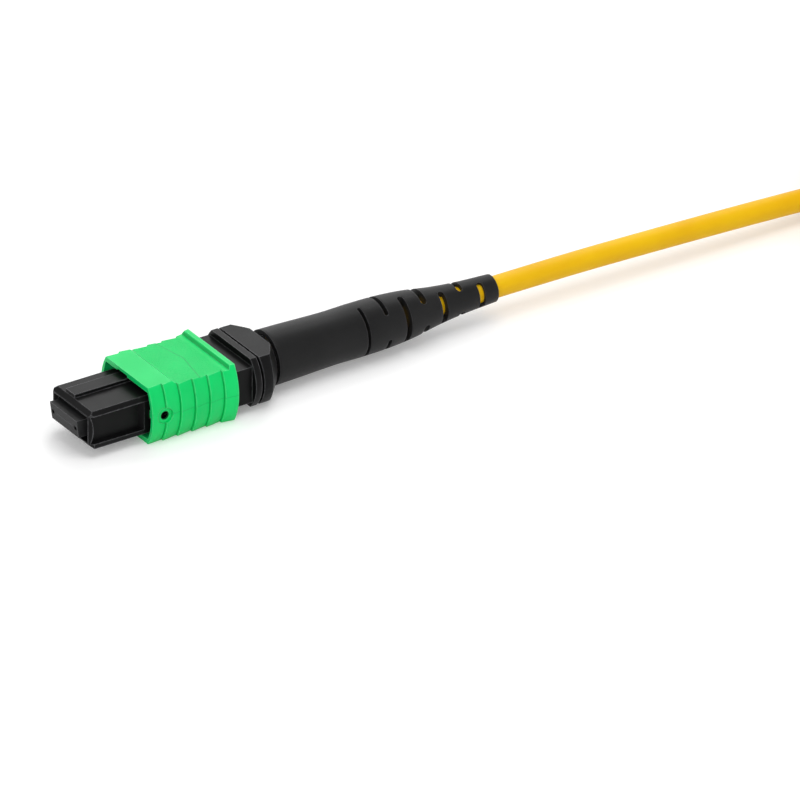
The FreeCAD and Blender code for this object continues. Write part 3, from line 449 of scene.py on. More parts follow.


# each look's edge settings lighten outer edges as a painted highlight and some wear
plasticLooks = {
    "sleeveShell": {
        "colour": linear(0.02, 0.85, 0.435), "drift": linear(0.0, 0.815, 0.41),
        "driftSize": 160.0, "grainSize": 5200.0, "grainDepth": 0.3,
        "smooth": 0.32, "rough": 0.48,
        "shineAndWearWidth": 0.2 * mm, "shineAndWearBreak": 1400.0, "shineAndWearAmount": 0.55,
        "shineAndWearColour": linear(0.5, 0.97, 0.7),
        # dark green of the moulded lines and of the painted shade marks
        "markColour": linear(0.0, 0.34, 0.15), "markDepth": 0.8, "markReach": 0.06 * mm,
        "sockets": {
            "IOR": 1.5, "Specular IOR Level": 0.2,
            "Subsurface Weight": 0.08, "Subsurface Scale": 0.5 * mm,
        },
    },
    "blackPlastic": {
        "colour": linear(0.072, 0.072, 0.074), "drift": linear(0.05, 0.05, 0.052),
        "driftSize": 260.0, "grainSize": 6500.0, "grainDepth": 0.3,
        "smooth": 0.3, "rough": 0.44,
        "shineAndWearWidth": 0.2 * mm, "shineAndWearBreak": 1800.0, "shineAndWearAmount": 0.8,
        "shineAndWearColour": linear(0.42, 0.42, 0.43),
        "sockets": {"IOR": 1.5, "Specular IOR Level": 0.1},
    },
    "ferruleEnd": {
        "colour": linear(0.12, 0.12, 0.122), "drift": linear(0.15, 0.15, 0.152),
        "driftSize": 2400.0, "grainSize": 9000.0, "grainDepth": 0.35,
        "smooth": 0.38, "rough": 0.56,
        "shineAndWearWidth": 0.12 * mm, "shineAndWearBreak": 2500.0, "shineAndWearAmount": 0.8,
        "shineAndWearColour": linear(0.42, 0.42, 0.43),
        # near-black of the fibre row and of the painted shade in the guide holes
        "markColour": linear(0.03, 0.03, 0.03), "markDepth": 0.3, "markReach": 0.06 * mm,
        "sockets": {"IOR": 1.5, "Specular IOR Level": 0.15},
    },
    "bootRubber": {
        "colour": linear(0.1, 0.1, 0.102), "drift": linear(0.075, 0.075, 0.077),
        "driftSize": 190.0, "grainSize": 4200.0, "grainDepth": 0.5,
        "smooth": 0.36, "rough": 0.5,
        "shineAndWearWidth": 0.16 * mm, "shineAndWearBreak": 1200.0, "shineAndWearAmount": 0.45,
        "shineAndWearColour": linear(0.36, 0.36, 0.37),
        "sockets": {
            "IOR": 1.48, "Specular IOR Level": 0.16,
            "Sheen Weight": 0.02, "Sheen Roughness": 0.6,
        },
    },
    "greyRubber": {
        "colour": linear(0.36, 0.36, 0.37), "drift": linear(0.32, 0.32, 0.33),
        "driftSize": 300.0, "grainSize": 4200.0, "grainDepth": 0.4,
        "smooth": 0.6, "rough": 0.8,
        "shineAndWearWidth": 0.08 * mm, "shineAndWearBreak": 1500.0, "shineAndWearAmount": 0.15,
        "shineAndWearColour": linear(0.5, 0.5, 0.5),
        "sockets": {"IOR": 1.45},
    },
    "fibreGlass": {
        "colour": linear(0.2, 0.21, 0.22), "drift": linear(0.26, 0.27, 0.28),
        "driftSize": 3000.0, "grainSize": 9000.0, "grainDepth": 0.05,
        "smooth": 0.08, "rough": 0.2,
        "shineAndWearWidth": 0.01 * mm, "shineAndWearBreak": 1500.0, "shineAndWearAmount": 0.05,
        "shineAndWearColour": linear(0.4, 0.42, 0.44),
        "sockets": {"IOR": 1.46},
    },
    "ribbonCoating": {
        "colour": linear(0.62, 0.72, 0.84), "drift": linear(0.55, 0.66, 0.8),
        "driftSize": 500.0, "grainSize": 8000.0, "grainDepth": 0.1,
        "smooth": 0.18, "rough": 0.3,
        "shineAndWearWidth": 0.03 * mm, "shineAndWearBreak": 1500.0, "shineAndWearAmount": 0.1,
        "shineAndWearColour": linear(0.85, 0.9, 0.95),
        "sockets": {"IOR": 1.5},
    },
}
plasticMarks = {"sleeveShell": markSleeve, "ferruleEnd": markFerrule}

metalGrain = {
    "driftSize": 300.0, "grainSize": 7000.0, "grainDepth": 0.15,
    "stretch": (1.0, 0.05, 0.05), "lineSize": 9000.0, "lineDetail": 2.0,
    "lineDepth": 0.3, "lineReach": 0.01 * mm,
    "sockets": {"Metallic": 1.0},
}
drawnLooks = {
    "yellowJacket": {
        "colour": linear(0.925, 0.735, 0.0), "drift": linear(0.9, 0.695, 0.0),
        "driftSize": 120.0, "grainSize": 5200.0, "grainDepth": 0.2,
        "smooth": 0.36, "rough": 0.52,
        "stretch": (0.04, 1.0, 1.0), "lineSize": 2600.0, "lineDetail": 2.0,
        "lineDepth": 0.12, "lineReach": 0.015 * mm,
        "sockets": {
            "IOR": 1.47, "Specular IOR Level": 0.22,
            "Subsurface Weight": 0.08, "Subsurface Scale": 0.5 * mm,
        },
    },
    "springSteel": {
        **metalGrain, "colour": linear(0.78, 0.78, 0.80), "drift": linear(0.70, 0.70, 0.72),
        "smooth": 0.22, "rough": 0.36,
    },
    "crimpMetal": {
        **metalGrain, "colour": linear(0.84, 0.84, 0.85), "drift": linear(0.76, 0.76, 0.77),
        "smooth": 0.28, "rough": 0.42,
    },
}


def drawnMaterial(name, look):
    # fine lines that run one way, as on an extruded jacket or on drawn and turned metal
    material, tree, shader = startMaterial(name)
    skin = placeSkin(tree, look)
    place = objectPlace(tree, look["stretch"])
    lines = noiseNode(tree, place, look["lineSize"], look["lineDetail"])
    normal = bumpNode(tree, lines, look["lineDepth"], look["lineReach"], skin["Normal"])
    finishShader(tree, shader, skin["Colour"], skin["Roughness"], normal, look["sockets"])
    return material


yarnLook = {
    "stretch": (0.06, 1.0, 1.0),
    "strandSize": 5200.0,
    "strandStops": [(0.38, 0.0), (0.62, 1.0)],
    "dark": linear(0.68, 0.55, 0.2),
    "light": linear(0.93, 0.82, 0.42),
    "depth": 0.8,
    "reach": 0.05 * mm,
    "roughness": 0.7,
    "sockets": {"Sheen Weight": 0.3},
}


def yarnMaterial(name):
    # loose yellow strands laid along the stub
    look = yarnLook
    material, tree, shader = startMaterial(name)
    strands = noiseNode(tree, objectPlace(tree, look["stretch"]), look["strandSize"])
    mask = rampNode(tree, strands, look["strandStops"])
    colour = mixColours(tree, mask, look["dark"], look["light"])
    normal = bumpNode(tree, strands, look["depth"], look["reach"])
    finishShader(tree, shader, colour, look["roughness"], normal, look["sockets"])
    return material


strapLook = {
    "threadSize": 700.0,
    "threadWander": 0.6,
    "loopSize": 5200.0,
    "loopDetail": 4.0,
    "loopRoughness": 0.7,
    "loopShare": 0.8,
    "dark": linear(0.07, 0.07, 0.08),
    "light": linear(0.23, 0.23, 0.245),
    "depth": 0.9,
    "reach": 0.12 * mm,
    "roughness": 0.88,
    "sockets": {"Sheen Weight": 0.25, "Sheen Roughness": 0.5},
}


def strapMaterial(name):
    # hook-and-loop strap: a fine plain weave under a haze of loops
    look = strapLook
    material, tree, shader = startMaterial(name)
    place = objectPlace(tree)
    threads = []
    for direction in ("X", "Z"):
        wave = tree.nodes.new("ShaderNodeTexWave")
        wave.bands_direction = direction
        wave.inputs["Scale"].default_value = look["threadSize"]
        wave.inputs["Distortion"].default_value = look["threadWander"]
        tree.links.new(place, wave.inputs["Vector"])
        threads.append(wave.outputs["Fac"])
    weave = product(tree, *threads)
    loops = noiseNode(tree, place, look["loopSize"], look["loopDetail"], look["loopRoughness"])
    height = mathNode(tree, "MULTIPLY_ADD", loops, look["loopShare"], weave)
    colour = mixColours(tree, height, look["dark"], look["light"])
    normal = bumpNode(tree, height, look["depth"], look["reach"])
    finishShader(tree, shader, colour, look["roughness"], normal, look["sockets"])
    return material


materials = {
    name: mouldedPlastic(name, look, plasticMarks.get(name)) for name, look in plasticLooks.items()
}
for materialName, look in drawnLooks.items():
    materials[materialName] = drawnMaterial(materialName, look)
materials["yarnFibre"] = yarnMaterial("yarnFibre")
materials["strapWeave"] = strapMaterial("strapWeave")
print("materials ready")


# CAD nodes that are shown as they are: material, and rounding in millimetres
shownNodes = {
    "inner_housing": ("blackPlastic", 0.07),
    "far_inner_housing": ("blackPlastic", 0.07),
    "spring_push": ("blackPlastic", 0.08),
    "far_spring_push": ("blackPlastic", 0.10),
    "ferrule": ("ferruleEnd", 0.03),
    "far_ferrule": ("ferruleEnd", 0.03),
    "ferrule_boot": ("greyRubber", 0.08),
    "pin_keeper": ("springSteel", 0.05),
    "aramid_yarn": ("yarnFibre", 0.0),
    "crimp_ring": ("crimpMetal", 0.06),
    "coupling_sleeve": ("sleeveShell", 0.12),
    "cable_lead": ("yellowJacket", 0.0),
    "far_cable_lead": ("yellowJacket", 0.0),
}
edges = {
    "weld": 0.002,
    "segments": 2,
    "angle": 35,  # degrees from which an edge is rounded
    "strapAngle": 50,
    "sharpAngle": 50,
}


def addBevel(obj, width, angle):
    bevel = obj.modifiers.new("round", "BEVEL")
    bevel.width = width * mm
    bevel.segments = edges["segments"]
    bevel.limit_method = "ANGLE"
    bevel.angle_limit = math.radians(angle)
    bevel.use_clamp_overlap = True
    return bevel


def dress(obj, material, rounding):
    obj.data.materials.clear()
    obj.data.materials.append(materials[material])
    if rounding:
        weld = obj.modifiers.new("weld", "WELD")
        weld.merge_threshold = edges["weld"] * mm
        addBevel(obj, rounding, edges["angle"]).harden_normals = True


def roundEdges(obj, width, angle=edges["angle"]):
    addBevel(obj, width, angle).miter_outer = "MITER_ARC"
    applyModifiers(obj)
    for polygon in obj.data.polygons:
        polygon.use_smooth = True
    obj.data.set_sharp_from_angle(angle=math.radians(edges["sharpAngle"]))


for nodeName, (material, rounding) in shownNodes.items():
    dress(nodes[nodeName], material, rounding)
print("CAD nodes finished")


# springs, wound from round wire with a closed turn at each end
springs = {
    "ferruleSpring": {
        "node": "ferrule_spring", "joint": "ferrule_slide", "travel": 1.0,
        "span": (9.625, 17.475), "middle": 0.0,
        "halfWidth": 3.09, "halfHeight": 1.34, "wire": 0.42, "turns": 5,
    },
    "couplingSpringLeft": {
        "node": "coupling_spring_left", "joint": "sleeve_slide", "travel": 2.0,
        "span": (10.9, 17.15), "middle": 4.53,
        "halfWidth": 0.46, "halfHeight": 0.46, "wire": 0.2, "turns": 8,
    },
    "couplingSpringRight": {
        "node": "coupling_spring_right", "joint": "sleeve_slide", "travel": 2.0,
        "span": (10.9, 17.15), "middle": -4.53,
        "halfWidth": 0.46, "halfHeight": 0.46, "wire": 0.2, "turns": 8,
    },
}
winding = {"closedPitch": 1.06, "stepsPerTurn": 28, "wireSides": 8}


def wireTube(name, path, radius, sides):
    # round tube along a list of points, closed at both ends
    points = [Vector(p) for p in path]
    vertices, faces = [], []
    for index, point in enumerate(points):
        ahead = points[min(index + 1, len(points) - 1)] - points[max(index - 1, 0)]
        along = ahead.normalized()
        across = along.cross(Vector((1, 0, 0))).normalized()
        up = across.cross(along)
        for side in range(sides):
            angle = 2 * math.pi * side / sides
            vertices.append(point + (across * math.cos(angle) + up * math.sin(angle)) * radius)
    last = (len(points) - 1) * sides
    for row in range(0, last, sides):
        for side in range(sides):
            following = (side + 1) % sides
            ahead = row + sides
            faces.append((row + side, row + following, ahead + following, ahead + side))
    faces += [tuple(reversed(range(sides))), tuple(last + side for side in range(sides))]
    mesh = meshFrom(name, vertices, faces)
    for polygon in mesh.polygons:
        polygon.use_smooth = len(polygon.vertices) == 4
    return addObject(name, mesh)


def buildSpring(name, look):
    wire, turns, steps = look["wire"], look["turns"], winding["stepsPerTurn"]
    first, last = look["span"][0] + wire / 2, look["span"][1] - wire / 2
    closed = wire * winding["closedPitch"]
    openPitch = (last - first - 2 * closed) / turns
    radius = look["halfHeight"] - wire / 2
    straight = look["halfWidth"] - look["halfHeight"]
    path = []
    for step in range((turns + 2) * steps + 1):
        around = step / steps
        x = first + closed * (min(around, 1) + max(around - turns - 1, 0))
        x += openPitch * min(max(around - 1, 0), turns)
        angle = 2 * math.pi * (around + 0.5 / steps)  # half a step on, so no cosine is nought
        y = radius * math.cos(angle) + math.copysign(straight, math.cos(angle))
        path.append((x, look["middle"] + y, radius * math.sin(angle)))
    obj = wireTube(name, path, wire / 2, winding["wireSides"])
    obj.data.materials.append(materials["springSteel"])
    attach(obj, "plug")
    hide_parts(look["node"])
    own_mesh(obj)


for springName, look in springs.items():
    buildSpring(springName, look)
print("springs wound")


# fibres: bare in the ferrule, coated side by side behind it, gathered for the cable
ribbon = {
    "count": 16,
    "pitch": 0.25,
    "bareRadius": 0.058,
    "bareLength": 3.6,
    "bareLap": 0.1,
    "bareSides": 10,
    # (x, half width, half height)
    "stations": [
        (3.6, 2.05, 0.15), (9.0, 2.05, 0.15), (15.6, 2.05, 0.15), (19.0, 1.93, 0.17),
        (23.0, 1.55, 0.22), (27.0, 1.1, 0.3), (31.0, 0.84, 0.36), (38.0, 0.84, 0.36),
    ],
    "stepsPerFibre": 4,
    "valley": 0.72,  # height between two fibres, as a share of the full height
    "travel": 1.0,
}


def ribbonOutline():
    # one bulge for each fibre over the top, and back underneath, from -1 to 1
    steps = ribbon["count"] * ribbon["stepsPerFibre"]
    valley = ribbon["valley"]
    outline = []
    for index in range(steps + 1):
        share = index / steps
        bulge = valley + (1 - valley) * abs(math.sin(math.pi * ribbon["count"] * share))
        outline.append((2 * share - 1, bulge))
    return outline + [(y, -bulge) for y, bulge in reversed(outline)]


def buildRibbon(name):
    look = ribbon
    count, sides, radius = look["count"], look["bareSides"], look["bareRadius"]
    stations, outline = look["stations"], ribbonOutline()
    points = len(outline)
    vertices = [(x, y * wide, z * high) for x, wide, high in stations for y, z in outline]
    faces = []
    for row in range(len(stations) - 1):
        here, there = row * points, (row + 1) * points
        for index in range(points):
            following = (index + 1) % points
            faces.append((here + index, here + following, there + following, there + index))
    last = (len(stations) - 1) * points
    faces += [tuple(range(points)), tuple(reversed(range(last, last + points)))]
    coated = len(faces)
    for number in range(count):
        middle = (number - (count - 1) / 2) * look["pitch"]
        near = len(vertices)
        far = near + sides
        for x in (0.0, look["bareLength"] + look["bareLap"]):
            for side in range(sides):
                angle = 2 * math.pi * side / sides
                vertices.append((x, middle + radius * math.cos(angle), radius * math.sin(angle)))
        for side in range(sides):
            following = (side + 1) % sides
            faces.append((near + side, near + following, far + following, far + side))
        faces += [tuple(range(far - 1, near - 1, -1)), tuple(range(far, far + sides))]
    mesh = meshFrom(name, vertices, faces)
    mesh.materials.append(materials["ribbonCoating"])
    mesh.materials.append(materials["fibreGlass"])
    for polygon in mesh.polygons:
        polygon.material_index = 1 if polygon.index >= coated else 0
    obj = addObject(name, mesh)
    faceOutwards(mesh)
    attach(obj, "plug")
    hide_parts("fibre_ribbon")
    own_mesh(obj)


buildRibbon("fibreRibbon")
print("fibres laid")


# boot: tapered rubber sleeve with staggered rounded slots
boot = {
    "front": 30.4,
    # (distance from the front, outer radius)
    "profile": [
        (0.0, 3.8), (3.0, 3.73), (9.6, 3.53), (13.5, 3.57), (17.6, 3.5), (21.6, 3.18),
        (25.6, 2.56), (29.6, 2.15), (34.6, 1.88),
    ],
    # (distance from the front, inner radius)
    "bores": [
        (0.0, 3.07), (7.0, 3.07), (7.0, 1.94), (10.05, 1.94), (10.05, 1.56), (34.6, 1.56),
    ],
    "stations": 70,
    "rounds": 96,
    "rounding": 0.09,
    "slotPlaces": [13.8, 17.05, 20.05, 23.1, 26.1, 29.1, 32.1],
    "slotWidths": [0.48, 0.6, 0.86, 0.95, 0.92, 0.85, 0.88],
    "slotHalfAngles": [66.0, 62.0, 66.0, 61.0, 57.0, 50.0, 55.0],
    "slotTurn": 14.0,
    "slotStagger": 90.0,  # every other pair of slots is turned on by this
    "slotSteps": 24,
    "slotEndSteps": 8,
    "slotTip": 0.08,  # width left at the very end of a slot, as a share of the full width
    "slotRoot": 1.2,  # radius at which the cutter starts
    "slotOver": 0.8,  # how far it stands out of the wall
}


def curveThrough(points, x):
    # smooth value between listed (x, value) points
    last = len(points) - 1
    index = max(i for i in range(last) if points[i][0] <= x)
    (x1, y1), (x2, y2) = points[index], points[index + 1]
    before, after = points[max(index - 1, 0)], points[min(index + 2, last)]
    slope1 = (y2 - before[1]) / (x2 - before[0])
    slope2 = (after[1] - y1) / (after[0] - x1)
    span = x2 - x1
    t = (x - x1) / span
    a, b = (1 + 2 * t) * (1 - t) ** 2, t * t * (3 - 2 * t)
    lean = t * (1 - t) ** 2 * span * slope1 - t * t * (1 - t) * span * slope2
    return a * y1 + b * y2 + lean


def turned(name, outline, rounds):
    # closed ring of (x, radius) points turned about the X axis
    vertices, faces = [], []
    for x, radius in outline:
        for step in range(rounds):
            angle = 2 * math.pi * step / rounds
            vertices.append((x, radius * math.cos(angle), radius * math.sin(angle)))
    count = len(outline)
    for row in range(count):
        here, there = row * rounds, (row + 1) % count * rounds
        for step in range(rounds):
            following = (step + 1) % rounds
            faces.append((here + step, here + following, there + following, there + step))
    mesh = meshFrom(name, vertices, faces)
    faceOutwards(mesh)
    return mesh


def slotCutter(place, radius, width, middle, halfAngle):
    # curved bar with round ends, standing out radially from the cable to past the wall
    arc = math.radians(halfAngle) * radius
    straight = arc - width / 2
    steps, endSteps = boot["slotSteps"], boot["slotEndSteps"]
    roundEnd = []
    for step in range(endSteps + 1):
        lean = math.pi / 2 * step / endSteps
        along = -arc + width / 2 * (1 - math.cos(lean))
        roundEnd.append((along, max(math.sin(lean), boot["slotTip"])))
    stations = roundEnd + [(-straight + 2 * straight * i / steps, 1.0) for i in range(1, steps)]
    stations += [(-along, share) for along, share in reversed(roundEnd)]
    vertices, faces = [], []
    for along, share in stations:
        angle = middle + along / radius
        for reach in (boot["slotRoot"], radius + boot["slotOver"]):
            for side in (-1, 1):
                x = boot["front"] + place + side * share * width / 2
                vertices.append((x, -reach * math.cos(angle), reach * math.sin(angle)))
    last = len(stations) - 1
    for row in range(last):
        a, b = 4 * row, 4 * row + 4
        for first, second in ((0, 1), (1, 3), (3, 2), (2, 0)):
            faces.append((a + first, a + second, b + second, b + first))
    faces += [(0, 2, 3, 1), (4 * last, 4 * last + 1, 4 * last + 3, 4 * last + 2)]
    return vertices, faces


def cutAway(obj, vertices, faces):
    cutter = addObject("cutter", meshFrom("cutter", vertices, faces))
    faceOutwards(cutter.data)
    boolean = obj.modifiers.new("cut", "BOOLEAN")
    boolean.operation = "DIFFERENCE"
    boolean.solver = "EXACT"
    boolean.object = cutter
    applyModifiers(obj)
    bpy.data.objects.remove(cutter)


def buildBoot(name):
    profile, front = boot["profile"], boot["front"]
    length = profile[-1][0]
    outline = []
    for step in range(boot["stations"] + 1):
        x = length * step / boot["stations"]
        outline.append((front + x, curveThrough(profile, min(x, length - 1e-6))))
    outline += [(front + x, radius) for x, radius in reversed(boot["bores"])]
    obj = addObject(name, turned(name, outline, boot["rounds"]))
    vertices, faces = [], []
    slots = zip(boot["slotPlaces"], boot["slotWidths"], boot["slotHalfAngles"])
    for number, (place, width, halfAngle) in enumerate(slots):
        radius = curveThrough(profile, place)
        middle = math.radians(boot["slotTurn"] + boot["slotStagger"] * (number % 2))
        for side in (0, math.pi):
            some, more = slotCutter(place, radius, width, middle + side, halfAngle)
            faces += [tuple(i + len(vertices) for i in face) for face in more]
            vertices += some
    cutAway(obj, vertices, faces)
    roundEdges(obj, boot["rounding"])
    obj.data.materials.append(materials["bootRubber"])
    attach(obj, "plug")
    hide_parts("boot")
    return obj


bootPiece = buildBoot("strainRelief")
print("boot shaped")


# far plug: the near plug's sleeve and boot again, turned about on the cable's other end
farPlug = {
    "face": 276.5,
    # name: (copied piece, material, rounding, body, replaced node, slot)
    "pieces": {
        "farSleeve": (
            nodes["coupling_sleeve"], "sleeveShell", 0.12,
            "far_sleeve", "far_coupling_sleeve", "green_shell",
        ),
        "farStrainRelief": (bootPiece, "bootRubber", 0.0, "plug", "far_boot", "boot_rubber"),
    },
}


def turnAbout(name, source, material, rounding, body, replaced, slotName):
    obj = addObject(name, source.data.copy())
    obj.data.name = name
    toFace = Matrix.Translation((farPlug["face"] * mm, 0, 0))
    obj.matrix_world = toFace @ Matrix.Rotation(math.pi, 4, "Z")
    dress(obj, material, rounding)
    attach(obj, body)
    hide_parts(replaced)
    return obj


farPieces = [turnAbout(name, *look) for name, look in farPlug["pieces"].items()]
print("far plug dressed")


# cable, from the boot through the folded hank to the far boot
cable = {
    "diameter": 3.0,
    "bevelSteps": 6,
    "curveSteps": 8,
    "exit": (64.6, 0.0, 0.0),
    "nearRun": [
        (72.0, 0.0, 0.0), (81.0, 0.0, -0.08), (100.0, 0.0, -0.62), (112.0, 0.0, -1.1),
        (118.5, 0.0, -1.5),
    ],
    "entryRun": [(128.0, 0.0, -2.3), (139.0, -0.3, -2.5)],
    "nearLoopX": 127.5,
    "farLoopX": 184.5,
    "loopRadius": 9.32,
    "turnSteps": 6,
    "tipRaise": 1.3,
    "firstLayer": -2.6,
    "layerPitch": 3.1,
    "layers": 5,
    "waistX": (151.0, 161.0),
    "waistRise": (0.5, 0.75),  # share of the way up to the next layer
    "waistY": 1.6,
    "waistLift": 0.8,
    "outerRun": [
        (139.0, -8.6, 13.2), (148.0, -5.4, 10.6), (161.0, -4.75, 0.4), (167.0, -3.6, -2.6),
        (176.0, -0.4, -2.6),
    ],
    "tailRun": [
        (185.0, 0.0, -2.6), (193.0, 0.0, -1.72), (202.5, 0.0, -0.3), (211.9, 0.0, 0.0),
    ],
}


def layerHeight(layer):
    return cable["firstLayer"] + cable["layerPitch"] * (layer - 1)


def halfLoop(centreX, side, layer):
    # one half turn: side +1 at the far end, -1 at the near end
    points = []
    for step in range(cable["turnSteps"] + 1):
        angle = math.pi * (step / cable["turnSteps"] - 0.5)
        x = centreX + side * cable["loopRadius"] * math.cos(angle)
        y = side * cable["loopRadius"] * math.sin(angle)
        z = layerHeight(layer) + cable["tipRaise"] * math.cos(angle) ** 2
        points.append((x, y, z))
    return points


def waistPoints(fromLayer, toLayer, side):
    # where the strap pulls the runs together
    points = []
    for share, x in zip(cable["waistRise"], cable["waistX"]):
        layer = fromLayer + share * (toLayer - fromLayer)
        points.append((x, side * cable["waistY"], layerHeight(layer) + cable["waistLift"]))
    return points


def cableRoute():
    route = [cable["exit"]] + cable["nearRun"] + cable["entryRun"]
    for turn in range(1, cable["layers"] + 1):
        route += waistPoints(turn, turn + 1, -1)
        route += halfLoop(cable["farLoopX"], 1, turn + 1)
        route += waistPoints(turn + 1, turn + 1, 1)[::-1]
        route += halfLoop(cable["nearLoopX"], -1, turn + 1)
    return route + cable["outerRun"] + cable["tailRun"]


def buildCable(name):
    curve = bpy.data.curves.new(name, "CURVE")
    curve.dimensions = "3D"
    curve.bevel_depth = cable["diameter"] / 2 * mm
    curve.bevel_resolution = cable["bevelSteps"]
    curve.resolution_u = cable["curveSteps"]
    curve.use_fill_caps = True
    route = cableRoute()
    spline = curve.splines.new("NURBS")
    spline.points.add(len(route) - 1)
    for point, (x, y, z) in zip(spline.points, route):
        point.co = (x * mm, y * mm, z * mm, 1.0)
    spline.order_u = 3
    spline.use_endpoint_u = True
    obj = addObject(name, curve)
    obj.data.materials.append(materials["yellowJacket"])
    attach(obj, "plug")
    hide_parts("cable", "cable_hank", "cable_tail")
    return obj


cableObject = buildCable("patchCable")
print("cable laid")


# strap round the folded cable
strap = {
    "front": 151.5,
    "rear": 160.5,
    "thickness": 0.8,
    "halfWidth": 6.65,  # to the middle of the strap
    "bottom": -3.7,
    "top": 15.65,
    "cornerRadius": 3.2,
    "cornerSteps": 8,
    "innerEnd": (9.0, 6.5, 4.0, 1.5),  # heights of the end that lies underneath
    # (share of the way out, height) where the lap leaves the layer below
    "lapStart": [(0.1, 11.6), (0.6, 10.2), (1.0, 8.8)],
    "lapGap": 0.05,
    "lapSteps": 4,
    "overlap": 12.4,
    "columns": 8,
    "endInset": 0.6,
    "rounding": 0.18,
}


def strapPath():
    # middle line from the near side, under, round and over, then down again outside itself
    look = strap
    half, low, high = look["halfWidth"], look["bottom"], look["top"]
    radius, steps = look["cornerRadius"], look["cornerSteps"]
    corners = [
        (-half + radius, low + radius, 1.0), (half - radius, low + radius, 1.5),
        (half - radius, high - radius, 0.0), (-half + radius, high - radius, 0.5),
    ]
    line = [(-half, z) for z in look["innerEnd"]]
    for middleY, middleZ, start in corners:
        for step in range(steps + 1):
            angle = start * math.pi + math.pi / 2 * step / steps
            y = middleY + radius * math.cos(angle)
            line.append((y, middleZ + radius * math.sin(angle)))
    out = look["thickness"] + look["lapGap"]
    line += [(-half - out * share, z) for share, z in look["lapStart"]]
    lapTop = look["lapStart"][-1][1]
    for step in range(look["lapSteps"]):
        line.append((-half - out, lapTop - look["overlap"] * (step + 1) / look["lapSteps"]))
    return line


def buildStrap(name):
    look = strap
    line, columns = strapPath(), look["columns"]
    vertices, faces = [], []
    for index, (y, z) in enumerate(line):
        inset = look["endInset"] if index == len(line) - 1 else 0.0
        for column in range(columns + 1):
            width = look["rear"] - look["front"] - 2 * inset
            vertices.append((look["front"] + inset + width * column / columns, y, z))
    for row in range(len(line) - 1):
        for column in range(columns):
            a = row * (columns + 1) + column
            faces.append((a, a + 1, a + columns + 2, a + columns + 1))
    obj = addObject(name, meshFrom(name, vertices, faces))
    thicken = obj.modifiers.new("thicken", "SOLIDIFY")
    thicken.thickness = look["thickness"] * mm
    thicken.offset = 0.0
    thicken.use_even_offset = True
    applyModifiers(obj)
    roundEdges(obj, look["rounding"], edges["strapAngle"])
    obj.data.materials.append(materials["strapWeave"])
    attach(obj, "plug")
    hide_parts("hank_tie")
    return obj


strapObject = buildStrap("hankStrap")
print("strap wound")


# stage: floor, lights and camera
stage = {
    "target": (51.05, 0.0, -12.31),
    "towardsCamera": (-0.4735, -0.737, 0.4824),
    "distance": 4294.0,
    "lens": 1500.0,
    "sensor": 36.0,
    "clip": (0.1, 20.0),  # metres
    "floorHeight": -4.1,
    "floorSize": 6000.0,
    "floorColour": (0.82, 0.82, 0.82, 1),
    "floorRoughness": 0.9,
    "floorGloss": 0.1,
    "floorGlow": [(0.25, 0.22), (0.95, 0.62)],  # metres from the middle, brightness
    "worldStrength": 0.52,
    "ceiling": [(0.58, 1.0), (0.76, 0.12)],  # sine of the height above the horizon, brightness
    "lamps": {
        # name: place, aimed at, size, watts
        "overhead": ((60.0, -120.0, 670.0), (55.0, 0.0, 0.0), 480.0, 2.0),
        "frontSide": ((-560.0, -480.0, 420.0), (40.0, 0.0, 0.0), 420.0, 1.7),
        "highBack": ((440.0, 314.0, 640.0), (60.0, 0.0, 0.0), 340.0, 1.3),
        "lowBack": ((350.0, 620.0, 380.0), (60.0, 0.0, 0.0), 300.0, 0.6),
    },
}


def aimed(place, target):
    return (Vector(target) - Vector(place)).to_track_quat("-Z", "Y").to_euler()


def buildCamera():
    data = bpy.data.cameras.new("camera")
    data.lens = stage["lens"]
    data.sensor_width = stage["sensor"]
    data.clip_start, data.clip_end = stage["clip"]
    obj = addObject("camera", data)
    target = Vector(stage["target"])
    reach = Vector(stage["towardsCamera"]).normalized() * stage["distance"]
    obj.location = (target + reach) * mm
    obj.rotation_euler = aimed(obj.location, target * mm)
    bpy.context.scene.camera = obj


def buildLamps():
    for name, (place, target, size, watts) in stage["lamps"].items():
        data = bpy.data.lights.new(name, "AREA")
        data.shape = "SQUARE"
        data.size = size * mm
        data.energy = watts
        obj = addObject(name, data)
        obj.location = Vector(place) * mm
        obj.rotation_euler = aimed(place, target)


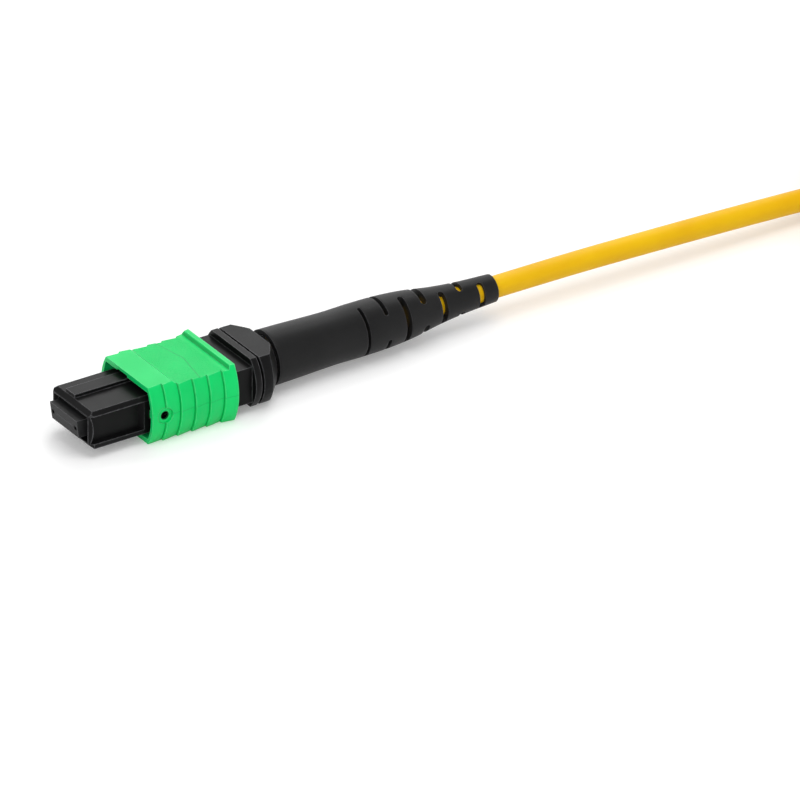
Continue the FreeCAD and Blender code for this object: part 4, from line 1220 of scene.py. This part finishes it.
def buildWorld():
    # even light on the object; the camera and what looks through glass see plain white
    world = bpy.data.worlds.new("studio")
    bpy.context.scene.world = world
    world.use_nodes = True
    tree = world.node_tree
    path = tree.nodes.new("ShaderNodeLightPath").outputs
    light = tree.nodes["Background"]
    light.inputs["Color"].default_value = (1, 1, 1, 1)
    light.inputs["Strength"].default_value = stage["worldStrength"]
    backdrop = tree.nodes.new("ShaderNodeBackground")
    backdrop.inputs["Color"].default_value = (1, 1, 1, 1)
    # reflections see the white backdrop low down and a dim ceiling above it
    height = splitVector(tree, tree.nodes.new("ShaderNodeTexCoord").outputs["Generated"])[2]
    ceiling = rampNode(tree, height, stage["ceiling"])
    through = strongest(tree, path["Is Camera Ray"], path["Is Transmission Ray"])
    feed(tree, backdrop.inputs["Strength"], strongest(tree, through, ceiling))
    mix = tree.nodes.new("ShaderNodeMixShader")
    seen = strongest(tree, through, path["Is Glossy Ray"])
    for index, value in enumerate((seen, light.outputs[0], backdrop.outputs[0])):
        feed(tree, mix.inputs[index], value)
    feed(tree, tree.nodes["World Output"].inputs["Surface"], mix.outputs[0])


def buildFloor():
    half, z = stage["floorSize"] / 2, stage["floorHeight"]
    corners = [(-half, -half, z), (half, -half, z), (half, half, z), (-half, half, z)]
    floor = addObject("floor", meshFrom("floor", corners, [(0, 1, 2, 3)]))
    material, tree, shader = startMaterial("paleFloor")
    finishShader(tree, shader, stage["floorColour"], stage["floorRoughness"], None, {
        "Specular IOR Level": stage["floorGloss"],
    })
    # the floor looks whiter far from the object, where the lamps fall off
    reach = tree.nodes.new("ShaderNodeVectorMath")
    reach.operation = "LENGTH"
    tree.links.new(objectPlace(tree), reach.inputs[0])
    glow = tree.nodes.new("ShaderNodeEmission")
    feed(tree, glow.inputs["Strength"], rampNode(tree, reach.outputs["Value"], stage["floorGlow"]))
    both = tree.nodes.new("ShaderNodeAddShader")
    feed(tree, both.inputs[0], shader.outputs[0])
    feed(tree, both.inputs[1], glow.outputs[0])
    path = tree.nodes.new("ShaderNodeLightPath").outputs
    seen = strongest(tree, path["Is Camera Ray"], path["Is Glossy Ray"])
    lift = tree.nodes.new("ShaderNodeMixShader")
    for index, value in enumerate((seen, shader.outputs[0], both.outputs[0])):
        feed(tree, lift.inputs[index], value)
    feed(tree, tree.nodes["Material Output"].inputs["Surface"], lift.outputs[0])
    floor.data.materials.append(material)


bpy.context.scene.view_settings.view_transform = "Standard"
buildCamera()
buildLamps()
buildWorld()
buildFloor()
print("stage ready")
